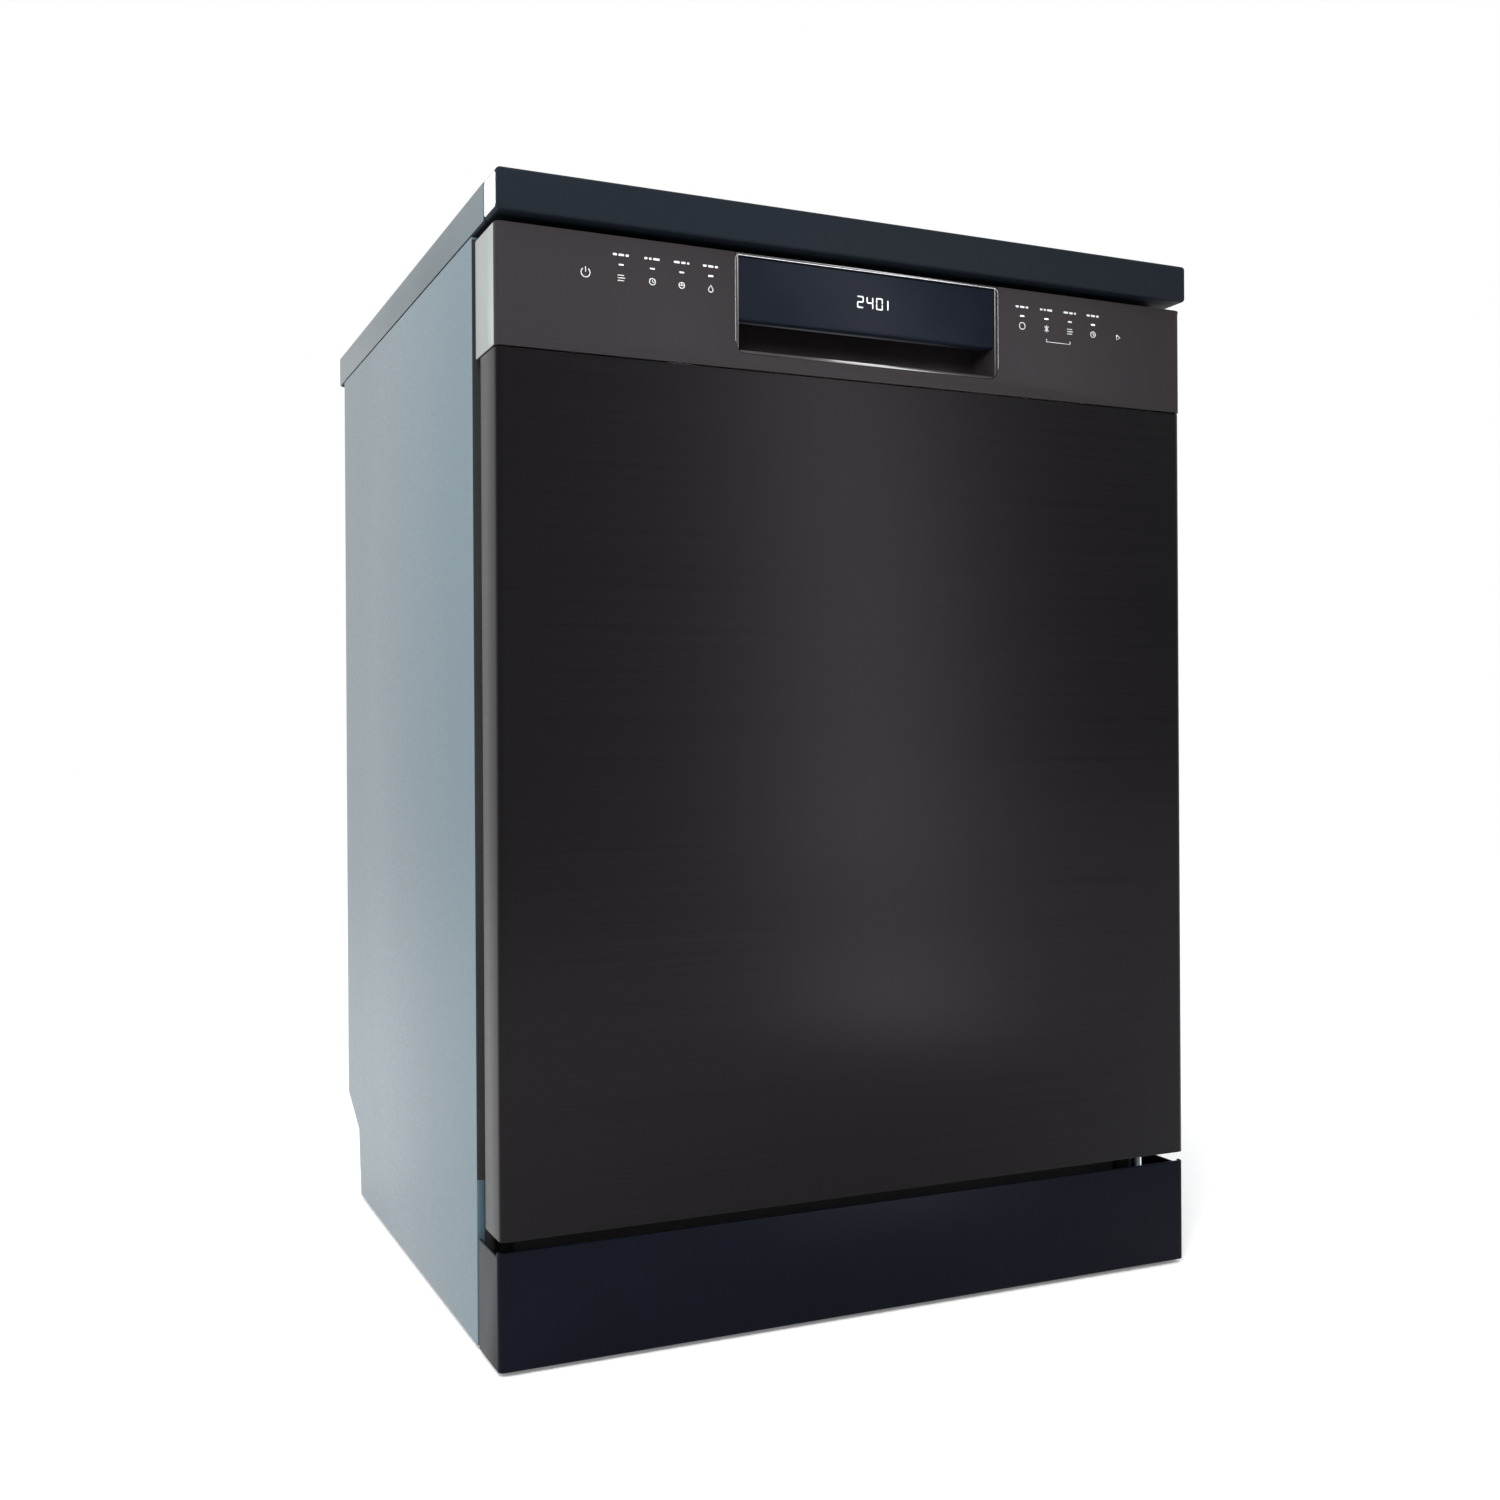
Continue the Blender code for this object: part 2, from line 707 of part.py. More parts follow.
# --- Water system -------------------------------------------------------------------------------------
def build_sump(paint):
    """The bowl under the tub floor, with the upright tube that feeds the lower spray arm."""
    wall = SUMP_WALL
    bottom = SUMP_TOP - SUMP_DEPTH
    profile = [
        (SUMP_RADIUS + 0.010, SUMP_TOP),
        (SUMP_RADIUS + 0.010, SUMP_TOP - 0.003),
        (SUMP_RADIUS, SUMP_TOP - 0.003),
        (SUMP_RADIUS - SUMP_TAPER, bottom),
        (0, bottom),
        (0, bottom + wall),
        (SUMP_THROAT, bottom + wall),
        (SUMP_RADIUS - wall, SUMP_TOP - 0.003),
        (SUMP_RADIUS - wall, SUMP_TOP),
    ]
    sump = turned("sump", profile, "Z", (0.0, SUMP_Y), paint["moulding"], 24)
    hub = turned(
        "spray_hub",
        [
            (0, bottom + wall / 2),
            (HUB_RADIUS + 0.003, bottom + wall / 2),
            (HUB_RADIUS, PLATE_Z - 0.006),
            (HUB_RADIUS, HUB_TOP),
            (0, HUB_TOP),
        ],
        "Z",
        (0.0, HUB_Y),
        paint["moulding"],
        16,
    )
    return fuse(sump, hub)


def build_filters(paint):
    """A flat perforated plate over the sump, and the cup that twists into it."""
    plate = prism(
        "filter_plate",
        circle(SUMP_RADIUS + 0.008, (0.0, SUMP_Y), 24),
        "Z",
        PLATE_Z,
        PLATE_Z + PLATE_THICK,
        paint["mesh_steel"],
    )
    holes = [
        (circle(HUB_RADIUS + 0.001, (0.0, HUB_Y)), "Z", PLATE_Z - 0.01, PLATE_Z + 0.01),
        (circle(FILTER_RADIUS + 0.001, (0.0, FILTER_Y)), "Z", PLATE_Z - 0.01, PLATE_Z + 0.01),
    ]
    cut(plate, prisms("plate_holes", holes, paint["mesh_steel"]))

    axis = pivot("filter_axis", (0.0, FILTER_Y, PLATE_Z))
    rim = PLATE_Z + PLATE_THICK + FIT
    foot = SUMP_TOP - SUMP_DEPTH + SUMP_WALL + 0.006
    wall = 0.0018
    profile = [
        (0, foot),
        (FILTER_RADIUS, foot),
        (FILTER_RADIUS, rim),
        (FILTER_RADIUS + 0.006, rim),
        (FILTER_RADIUS + 0.006, rim + 0.004),
        (FILTER_RADIUS - wall, rim + 0.004),
        (FILTER_RADIUS - wall, foot + wall),
        (0, foot + wall),
    ]
    cup = turned("filter_cup", profile, "Z", (0.0, FILTER_Y), paint["moulding"], 20)
    grip = block(
        "filter_grip",
        (-FILTER_RADIUS - 0.001, FILTER_Y - 0.0015, rim + 0.001),
        (FILTER_RADIUS + 0.001, FILTER_Y + 0.0015, rim + 0.011),
        paint["moulding"],
    )
    hang(grip, axis)
    hang(fuse(cup, grip), axis)


def blade(reach, width):
    """A spray arm seen from above: widest at its hub, with round tips."""
    tip = width * 0.62
    corners = [
        (-reach, -tip / 2),
        (-reach * 0.25, -width / 2),
        (reach * 0.25, -width / 2),
        (reach, -tip / 2),
        (reach, tip / 2),
        (reach * 0.25, width / 2),
        (-reach * 0.25, width / 2),
        (-reach, tip / 2),
    ]
    end = tip * 0.45
    return rounded(corners, [end, 0.02, 0.02, end, end, 0.02, 0.02, end], 3)


def build_spray_arm(name, holder, centre, blade_low, cup, reach, paint):
    """A blade joined to a hub cup. cup is (open end, closed end) of the hub along Z."""
    opened, closed = cup
    wall = 0.003 if closed > opened else -0.003
    outline = [(centre[0] + a, centre[1] + b) for a, b in blade(reach, ARM_WIDTH)]
    arm = prism(name, outline, "Z", blade_low, blade_low + ARM_THICK, paint["moulding"])
    bore = HUB_RADIUS + 0.001
    hub = turned(
        name + "_hub",
        [
            (0, closed),
            (bore + 0.006, closed),
            (bore + 0.006, opened),
            (bore, opened),
            (bore, closed - wall),
            (0, closed - wall),
        ],
        "Z",
        centre,
        paint["moulding"],
        16,
    )
    socket = turned(
        name + "_socket",
        [(0, opened - wall), (bore, opened - wall), (bore, closed - wall), (0, closed - wall)],
        "Z",
        centre,
        paint["moulding"],
        16,
    )
    for piece in (hub, socket):
        hang(piece, holder)
    return hang(cut(fuse(arm, hub), socket), holder)


def build_lower_spray(paint):
    axis = pivot("lower_spray_axis", (0.0, HUB_Y, HUB_TOP))
    opened = HUB_TOP - 0.010
    closed = HUB_TOP + 0.0045
    build_spray_arm(
        "lower_spray_arm", axis, (0.0, HUB_Y), opened + 0.003, (opened, closed), LOWER_ARM_REACH, paint
    )


def build_feed_tube(paint):
    """The duct up the tub's back wall and along its ceiling, with the fixed sprayer at its end."""
    rear = TUB_REAR_WALL - FIT
    front = FEED_FRONT
    top = TUB_CEILING - 0.002
    end = -0.012
    floor_end = 0.105
    low = FLOOR_TOP + 0.002
    deep = FEED_DEPTH
    outline = [
        (end, top),
        (rear, top),
        (rear, low),
        (rear - 0.022, low),
        (front, low + 0.012),
        (front, top - deep),
        (end, top - deep),
    ]
    outline = rounded(outline, [0, 0.012, 0, 0, 0, 0.006, 0], 3)
    tube = prism("spray_feed_tube", outline, "X", -FEED_HALF_WIDTH, FEED_HALF_WIDTH, paint["moulding"])
    sprayer = turned(
        "ceiling_sprayer",
        [
            (0, top - deep / 2),
            (0.010, top - deep / 2),
            (0.010, top - deep - 0.002),
            (0.026, top - deep - 0.004),
            (0.028, top - deep - 0.008),
            (0, top - deep - 0.012),
        ],
        "Z",
        (0.0, 0.006),
        paint["moulding"],
        16,
    )
    port = prism(
        "dock_port",
        circle(0.0095, (0.0, manifold_level())),
        "Y",
        front - 0.0025,
        front + 0.004,
        paint["moulding"],
    )
    return fuse(tube, sprayer, port)


def manifold_level():
    return UPPER_FLOOR - WIRE / 2 - TOUCH - 0.008


def build_upper_spray(paint, rack_axis):
    """The tube under the upper rack, which docks with the feed tube, and the arm that hangs from it."""
    z = manifold_level()
    radius = 0.007
    rear = FEED_FRONT - 0.0025 - 0.001
    tube = prism(
        "upper_spray_manifold",
        ring_points(0.010, radius, 0.005, (0.0, z), 2),
        "Y",
        -0.016,
        rear,
        paint["moulding"],
    )
    hub_low = z - 0.020
    stub = turned(
        "manifold_stub",
        [(0, z), (HUB_RADIUS - 0.001, z), (HUB_RADIUS - 0.001, hub_low), (0, hub_low)],
        "Z",
        (0.0, 0.0),
        paint["moulding"],
        16,
    )
    hang(stub, rack_axis)
    hang(fuse(tube, stub), rack_axis)
    axis = pivot("upper_spray_axis", (0.0, 0.0, hub_low), rack_axis)
    cup = (hub_low + 0.008, hub_low - 0.0045)
    build_spray_arm("upper_spray_arm", axis, (0.0, 0.0), hub_low - 0.003, cup, UPPER_ARM_REACH, paint)


def build_pumps(paint):
    """The wash pump to the right of the sump, and the small drain pump to its left."""
    z = SUMP_TOP - SUMP_DEPTH + 0.026
    start = SUMP_RADIUS - 0.0058
    profile = [
        (0, start),
        (0.013, start),
        (0.013, start + 0.014),
        (0.036, start + 0.016),
        (0.036, start + 0.046),
        (0.029, start + 0.050),
        (0.029, start + 0.105),
        (0.024, start + 0.112),
        (0, start + 0.112),
    ]
    pump = turned("wash_pump", profile, "X", (SUMP_Y, z), paint["motor"], 20)
    floor = BASE_FOOT + BASE_WALL + TOUCH
    mount = block(
        "wash_pump_mount",
        (start + 0.060, SUMP_Y - 0.014, floor),
        (start + 0.090, SUMP_Y + 0.014, z - 0.010),
        paint["motor"],
    )
    fuse(pump, mount)
    y = SUMP_Y - 0.035
    start = -SUMP_RADIUS + 0.014
    small = [
        (0, start),
        (0.008, start),
        (0.008, start - 0.022),
        (0.022, start - 0.024),
        (0.022, start - 0.046),
        (0.017, start - 0.050),
        (0.017, start - 0.074),
        (0, start - 0.074),
    ]
    drain = turned("drain_pump", small, "X", (y, z), paint["motor"], 16)
    mount = block(
        "drain_pump_mount",
        (start - 0.044, y - 0.010, floor),
        (start - 0.028, y + 0.010, z - 0.010),
        paint["motor"],
    )
    fuse(drain, mount)


def build_softener(paint):
    """The salt tank in the base, whose neck comes up through the tub floor, and its screw cap."""
    back = base_back() - BASE_WALL - 0.010
    left = FOOT_INSET - HALF + FOOT_STEM + 0.004
    right = SALT_X + SALT_NECK + 0.012
    front = SALT_Y - SALT_NECK - 0.004
    top = BASE_TOP - 0.006
    outline = rounded(rectangle(left, right, front, back), 0.014, 3)
    tank = prism("water_softener", outline, "Z", BASE_FOOT + BASE_WALL + 0.004, top, paint["moulding"])
    neck_top = DISH + 0.001
    neck = turned(
        "softener_neck",
        [(0, top - 0.004), (SALT_NECK, top - 0.004), (SALT_NECK, neck_top), (0, neck_top)],
        "Z",
        (SALT_X, SALT_Y),
        paint["moulding"],
        16,
    )
    fuse(tank, neck)
    axis = pivot("salt_cap_axis", (SALT_X, SALT_Y, neck_top))
    low = neck_top + TOUCH
    cap = turned(
        "salt_cap",
        [
            (0, low),
            (SALT_NECK + 0.005, low),
            (SALT_NECK + 0.005, low + 0.007),
            (SALT_NECK + 0.002, low + 0.009),
            (0, low + 0.009),
        ],
        "Z",
        (SALT_X, SALT_Y),
        paint["moulding"],
        16,
    )
    grip = block(
        "salt_cap_grip",
        (SALT_X - 0.016, SALT_Y - 0.003, low + 0.008),
        (SALT_X + 0.016, SALT_Y + 0.003, low + 0.015),
        paint["moulding"],
    )
    hang(grip, axis)
    hang(fuse(cap, grip), axis)


def build_rear_connections(paint):
    """The water valve's threaded inlet and the mains lead's terminal box, both on the base's back wall."""
    back = base_back() + TOUCH
    x = -(HALF - 0.085)
    z = 0.060
    valve = block(
        "inlet_valve", (x - 0.020, back, z - 0.022), (x + 0.020, back + 0.022, z + 0.026), paint["moulding"]
    )
    thread = turned(
        "valve_thread",
        [
            (0.013, back + 0.020),
            (0.013, back + 0.040),
            (0.0085, back + 0.040),
            (0.0085, back + 0.026),
            (0, back + 0.026),
            (0, back + 0.020),
        ],
        "Y",
        (x, z),
        paint["moulding"],
        16,
    )
    fuse(valve, thread)
    width = 0.060
    middle = HALF - 0.185
    box = block(
        "mains_terminal_box",
        (middle - width / 2, back, 0.040),
        (middle + width / 2, back + 0.024, 0.085),
        paint["moulding"],
    )
    gland = turned(
        "mains_gland",
        [
            (0.009, back + 0.022),
            (0.009, back + 0.032),
            (0.0045, back + 0.032),
            (0.0045, back + 0.027),
            (0, back + 0.027),
            (0, back + 0.022),
        ],
        "Y",
        (middle, 0.062),
        paint["moulding"],
        12,
    )
    fuse(box, gland)


# --- Hinges -------------------------------------------------------------------------------------------


def build_hinge(side, door_axis, paint):
    """A bracket with a pin on the base, an arm in the door, and the coil spring that balances the door."""
    hand = "left" if side < 0 else "right"
    steel = paint["galvanised"]
    base_front = BODY_FRONT + PANEL_SHEET + 0.001 - TOUCH
    bracket_x = ARM_X - 0.0005 - PLATE
    reach = 0.011
    ear_outline = rounded(
        rectangle(HINGE_Y - reach, base_front - 0.002, HINGE_Z - reach, HINGE_Z + reach),
        [reach * 0.98, 0, 0, reach * 0.98],
        4,
    )
    ear = prism(
        hand + "_hinge_bracket", ear_outline, "X", side * bracket_x, side * (bracket_x + PLATE), steel
    )
    foot = block(
        hand + "_bracket_foot",
        (min(side * (bracket_x - 0.012), side * (bracket_x + PLATE)), base_front - 0.003, 0.040),
        (max(side * (bracket_x - 0.012), side * (bracket_x + PLATE)), base_front, BASE_TOP - 0.003),
        steel,
    )
    pin = turned(
        hand + "_hinge_pin",
        [
            (0, side * (bracket_x + PLATE / 2)),
            (PIN_RADIUS, side * (bracket_x + PLATE / 2)),
            (PIN_RADIUS, side * (ARM_X + PLATE + 0.001)),
            (0, side * (ARM_X + PLATE + 0.001)),
        ],
        "X",
        (HINGE_Y, HINGE_Z),
        steel,
        16,
    )
    fuse(ear, foot, pin)

    lever = (HINGE_Y + LEVER_BACK, HINGE_Z + LEVER_UP)
    plate_front = DOOR_FRONT + DOOR_SHEET + 0.004
    arm_outline = rounded(
        [
            (plate_front, HINGE_Z + 0.190),
            (plate_front, HINGE_Z),
            (HINGE_Y - 0.006, HINGE_Z - 0.011),
            (HINGE_Y + 0.006, HINGE_Z - 0.011),
            (lever[0] + LEVER_END, lever[1] - LEVER_END),
            (lever[0] + LEVER_END, lever[1] + LEVER_END),
            (lever[0] - LEVER_END, lever[1] + LEVER_END),
            (DOOR_REAR - 0.004, HINGE_Z + 0.030),
            (DOOR_REAR - 0.004, HINGE_Z + 0.190),
        ],
        [0.003, 0.004, 0.004, 0.004, 0.0055, 0.0055, 0.004, 0.004, 0.003],
        2,
    )
    arm = prism(hand + "_hinge_arm", arm_outline, "X", side * ARM_X, side * (ARM_X + PLATE), steel)
    eye = prism(
        hand + "_arm_eye",
        circle(PIN_RADIUS + 0.0004, (HINGE_Y, HINGE_Z)),
        "X",
        side * (ARM_X - 0.01),
        side * (ARM_X + 0.01),
        steel,
    )
    hang(eye, door_axis)
    hang(cut(arm, eye), door_axis)
    build_spring(hand, side, lever, steel)


def build_spring(hand, side, lever, paint):
    """An extension spring between the hinge arm's lever and the base: a helix of wire with straight ends."""
    centre_x = side * (ARM_X + PLATE / 2)
    front = lever[0] + LEVER_END + TOUCH + 0.0003
    coil_start = -0.130
    coil_end = 0.060
    rear = 0.100
    radius = 0.0052
    turns = 13
    per_turn = 8
    z = lever[1]
    path = [(centre_x, front, z), (centre_x, coil_start - 0.012, z)]
    for k in range(turns * per_turn + 1):
        angle = 2 * math.pi * k / per_turn
        y = coil_start + (coil_end - coil_start) * k / (turns * per_turn)
        path.append((centre_x + radius * math.cos(angle), y, z + radius * math.sin(angle)))
    path += [(centre_x, coil_end + 0.012, z), (centre_x, rear, z)]
    curve = bpy.data.curves.new(hand + "_door_spring", "CURVE")
    curve.dimensions = "3D"
    curve.bevel_depth = 0.0011
    curve.bevel_resolution = 0
    curve.use_fill_caps = True
    curve.materials.append(paint)
    spline = curve.splines.new("POLY")
    spline.points.add(len(path) - 1)
    for point, place in zip(spline.points, path):
        point.co = (*place, 1.0)
    spring = bpy.data.objects.new(hand + "_door_spring", curve)
    bpy.context.scene.collection.objects.link(spring)
    return spring


# --- Door ---------------------------------------------------------------------------------------------


def build_door_shell(axis, paint):
    """The outer sheet: a front with rounded edges, two sides, and a lower edge cut back at the hinges."""
    outline = channel(DOOR_HALF, DOOR_FRONT, DOOR_REAR - TOUCH, DOOR_SHEET, DOOR_EDGE)
    shell = prism("door_outer_panel", outline, "Z", DOOR_BOTTOM, DOOR_TOP, paint["dark_steel"])
    edge = block(
        "door_lower_edge",
        (-NOTCH_IN, DOOR_FRONT + DOOR_SHEET / 2, DOOR_BOTTOM + 0.0002),
        (NOTCH_IN, DOOR_REAR - 0.006, DOOR_BOTTOM + 0.0002 + DOOR_SHEET),
        paint["dark_steel"],
    )
    hang(edge, axis)
    hang(fuse(shell, edge), axis)


def dispenser_box():
    """(low x, high x, low z, high z) of the dispenser's hole in the door liner."""
    middle = (DOOR_BOTTOM + DOOR_TOP) / 2 + 0.105
    return (-0.030, 0.150, middle - 0.062, middle + 0.062)


def build_liner(axis, paint):
    """The pressed inner door: a flange, a raised plug that closes the tub, and a hole for the dispenser."""
    low = DOOR_BOTTOM + 0.002
    high = lock_level() - 0.012
    centre_z = (low + high) / 2
    half_x = DOOR_HALF - DOOR_SHEET - 0.0015
    half_z = (high - low) / 2
    plug_x = half_x - LINER_MARGIN + 0.003
    plug_low = low + SEAL_HEIGHT + 0.0015
    plug_high = high - 0.010
    plug_centre = (plug_low + plug_high) / 2
    plug_half = (plug_high - plug_low) / 2
    x0, x1, z0, z1 = dispenser_box()
    gap = FIT
    hole = ring_points((x1 - x0) / 2 + gap, (z1 - z0) / 2 + gap, 0.008, ((x0 + x1) / 2, (z0 + z1) / 2), 4)
    face = LINER_FACE
    sheet = LINER_SHEET

    def sheet_loop(a, b, radius, middle, y):
        return level(ring_points(a, b, radius, (0.0, middle), 4), "Y", y)

    loops = [
        sheet_loop(half_x, half_z, 0.006, centre_z, DOOR_REAR),
        sheet_loop(half_x, half_z, 0.006, centre_z, DOOR_REAR + sheet),
        sheet_loop(plug_x, plug_half, 0.020, plug_centre, DOOR_REAR + sheet),
        sheet_loop(plug_x - 0.004, plug_half - 0.004, 0.016, plug_centre, face),
        level(hole, "Y", face),
        level(hole, "Y", face - sheet),
        sheet_loop(plug_x - 0.005, plug_half - 0.005, 0.015, plug_centre, face - sheet),
        sheet_loop(plug_x - 0.001, plug_half - 0.001, 0.019, plug_centre, DOOR_REAR),
    ]
    liner = loft("door_inner_liner", loops, paint["steel"], ring=True)
    notches = prisms(
        "hinge_notches",
        [
            (
                rectangle(side * NOTCH_IN, side * (HALF + 0.02), DOOR_BOTTOM - 0.02, HINGE_Z + 0.045),
                "Y",
                DOOR_REAR - 0.02,
                DOOR_REAR + 0.006,
            )
            for side in (-1, 1)
        ],
        paint["steel"],
    )
    hang(notches, axis)
    hang(cut(liner, notches), axis)

    seal = prism(
        "door_bottom_seal",
        rounded(
            rectangle(
                DOOR_REAR + sheet + TOUCH,
                LINER_FACE - TOUCH,
                plug_low - 0.0005 - SEAL_HEIGHT,
                plug_low - 0.0005,
            ),
            [0, 0.003, 0.001, 0],
            2,
        ),
        "X",
        -plug_x,
        plug_x,
        paint["rubber"],
    )
    hang(seal, axis)


def build_console(axis, paint):
    """The control panel moulding: front, two cheeks and a top, with a notch for the handle pocket."""
    rear = DOOR_FRONT + CONSOLE_CHEEK
    wall = CONSOLE_WALL
    outline = channel(DOOR_HALF, DOOR_FRONT - 0.001, rear, wall, DOOR_EDGE)
    console = prism("console", outline, "Z", CONSOLE_BOTTOM, CONSOLE_TOP, paint["console"])
    lid = block(
        "console_lid",
        (-DOOR_HALF + wall / 2, DOOR_FRONT - 0.001 + wall / 2, CONSOLE_TOP - wall),
        (DOOR_HALF - wall / 2, rear - 0.0005, CONSOLE_TOP - 0.0002),
        paint["console"],
    )
    fuse(console, lid)
    notch_outline = rounded(
        rectangle(-POCKET_HALF, POCKET_HALF, POCKET_BOTTOM, CONSOLE_TOP + 0.02),
        [POCKET_CORNER, POCKET_CORNER, 0, 0],
        4,
    )
    notch = prism(
        "console_notch", notch_outline, "Y", DOOR_FRONT - 0.02, POCKET_BACK + 0.0005, paint["console"]
    )
    for piece in (lid, notch):
        hang(piece, axis)
    hang(cut(console, notch), axis)


def build_handle(axis, paint):
    """The grip pocket: a box open at its lower front, with the display bar across its upper front."""
    gap = FIT
    half = POCKET_HALF - gap
    low = POCKET_BOTTOM + gap
    top = CONSOLE_TOP
    wall = POCKET_WALL
    front = DOOR_FRONT - 0.0005
    corner = POCKET_CORNER - gap
    outline = rounded(rectangle(-half, half, low, top), [corner, corner, 0.001, 0.001], 4)
    pocket = prism("handle_pocket", outline, "Y", front, POCKET_BACK, paint["gloss_black"])
    section = rounded(
        rectangle(front - 0.02, POCKET_BACK - wall, low + wall, top - wall), [0, 0.010, 0.004, 0], 4
    )
    hollow = prism("pocket_hollow", section, "X", wall - half, half - wall, paint["gloss_black"])
    hang(hollow, axis)
    hang(cut(pocket, hollow), axis)

    bar_outline = rounded(
        rectangle(DOOR_FRONT + 0.0005, DOOR_FRONT + DISPLAY_THICK, DISPLAY_BOTTOM, DISPLAY_TOP),
        [0.004, 0.002, 0, 0],
        3,
    )
    bar = prism(
        "display_bar", bar_outline, "X", wall + TOUCH - half, half - wall - TOUCH, paint["gloss_black"]
    )
    hang(bar, axis)


def build_control_board(axis, paint):
    """The circuit board behind the right-hand keys."""
    front = DOOR_FRONT + CONSOLE_WALL + 0.002
    board = block(
        "control_board",
        (POCKET_HALF + 0.010, front, CONSOLE_BOTTOM + 0.012),
        (DOOR_HALF - 0.020, front + 0.0016, CONSOLE_TOP - 0.010),
        paint["board"],
    )
    parts = prisms(
        "board_parts",
        [
            (
                rectangle(
                    POCKET_HALF + 0.020, POCKET_HALF + 0.050, CONSOLE_BOTTOM + 0.020, CONSOLE_BOTTOM + 0.045
                ),
                "Y",
                front + 0.001,
                front + 0.014,
            ),
            (
                rectangle(
                    POCKET_HALF + 0.070, POCKET_HALF + 0.095, CONSOLE_BOTTOM + 0.020, CONSOLE_BOTTOM + 0.050
                ),
                "Y",
                front + 0.001,
                front + 0.009,
            ),
        ],
        paint["board"],
    )
    hang(parts, axis)
    hang(fuse(board, parts), axis)


def build_dispenser(axis, paint):
    """The detergent box in the liner, its sliding lid, and the twist cap of the rinse-aid tank."""
    x0, x1, z0, z1 = dispenser_box()
    centre = ((x0 + x1) / 2, (z0 + z1) / 2)
    half_x = (x1 - x0) / 2
    half_z = (z1 - z0) / 2
    back = DOOR_FRONT + DOOR_SHEET + 0.006
    face = LINER_FACE + 0.004
    rim = LINER_FACE + TOUCH
    body = loft(
        "dispenser_body",
        [
            level(ring_points(half_x - 0.004, half_z - 0.004, 0.006, centre), "Y", back),
            level(ring_points(half_x - 0.001, half_z - 0.001, 0.007, centre), "Y", rim),
            level(ring_points(half_x + 0.006, half_z + 0.006, 0.010, centre), "Y", rim),
            level(ring_points(half_x + 0.005, half_z + 0.005, 0.010, centre), "Y", face),
        ],
        paint["dispenser"],
    )
    cup_low = (x0 + 0.010, face - 0.030, z0 + 0.014)
    cup_high = (x0 + 0.096, face + 0.01, z1 - 0.014)
    cup = block("detergent_cup", cup_low, cup_high, paint["dispenser"])
    cap_place = (x1 - 0.036, centre[1])
    seat = turned(
        "cap_seat",
        [(0, face - 0.006), (0.0215, face - 0.006), (0.0215, face + 0.01), (0, face + 0.01)],
        "Y",
        cap_place,
        paint["dispenser"],
        16,
    )
    for piece in (cup, seat):
        hang(piece, axis)
    hang(cut(body, cup, seat), axis)

    lid_axis = pivot("dispenser_lid_axis", ((cup_low[0] + cup_high[0]) / 2, face, centre[1]), axis)
    lid = prism(
        "dispenser_lid",
        rounded(
            rectangle(cup_low[0] - 0.004, cup_high[0] + 0.004, cup_low[2] - 0.004, cup_high[2] + 0.004),
            0.006,
            2,
        ),
        "Y",
        face + TOUCH,
        face + 0.004,
        paint["dispenser"],
    )
    hang(lid, lid_axis)

    cap_axis = pivot("rinse_aid_axis", (cap_place[0], face, cap_place[1]), axis)
    cap = turned(
        "rinse_aid_cap",
        [
            (0, face - 0.006 + TOUCH),
            (0.0205, face - 0.006 + TOUCH),
            (0.0205, face + 0.001),
            (0.0190, face + 0.003),
            (0, face + 0.003),
        ],
        "Y",
        cap_place,
        paint["rinse_cap"],
        20,
    )
    ridge = block(
        "rinse_cap_ridge",
        (cap_place[0] - 0.014, face + 0.002, cap_place[1] - 0.0025),
        (cap_place[0] + 0.014, face + 0.008, cap_place[1] + 0.0025),
        paint["rinse_cap"],
    )
    hang(ridge, cap_axis)
    hang(fuse(cap, ridge), cap_axis)


def build_lock(axis, paint):
    """The lock on the door's upper edge: a case with a slot for the striker, and the sprung catch in it."""
    z = lock_level()
    half_z = 0.0085
    front = DOOR_REAR + LINER_SHEET + TOUCH
    rear = TUB_RIM_FACE - 0.004
    case = block("door_lock", (-0.032, front, z - half_z), (0.032, rear, z + half_z), paint["moulding"])
    slot = block(
        "lock_slot",
        (-0.0125, front + 0.002, z - 0.0060),
        (0.0125, rear + 0.01, z + 0.0045),
        paint["moulding"],
    )
    hang(slot, axis)
    hang(cut(case, slot), axis)
    catch_axis = pivot("lock_catch_axis", (0.0, front + 0.008, z - 0.002), axis)
    nose = rounded(rectangle(front + 0.004, front + 0.010, z - 0.0030, z - 0.0012), [0, 0, 0.001, 0.001], 2)
    hang(prism("lock_catch", nose, "X", -0.008, 0.008, paint["steel"]), catch_axis)


# --- Racks --------------------------------------------------------------------------------------------
def spread(low, high, count):
    """Evenly spaced places from low to high, both ends included."""
    return [low + (high - low) * k / (count - 1) for k in range(count)]


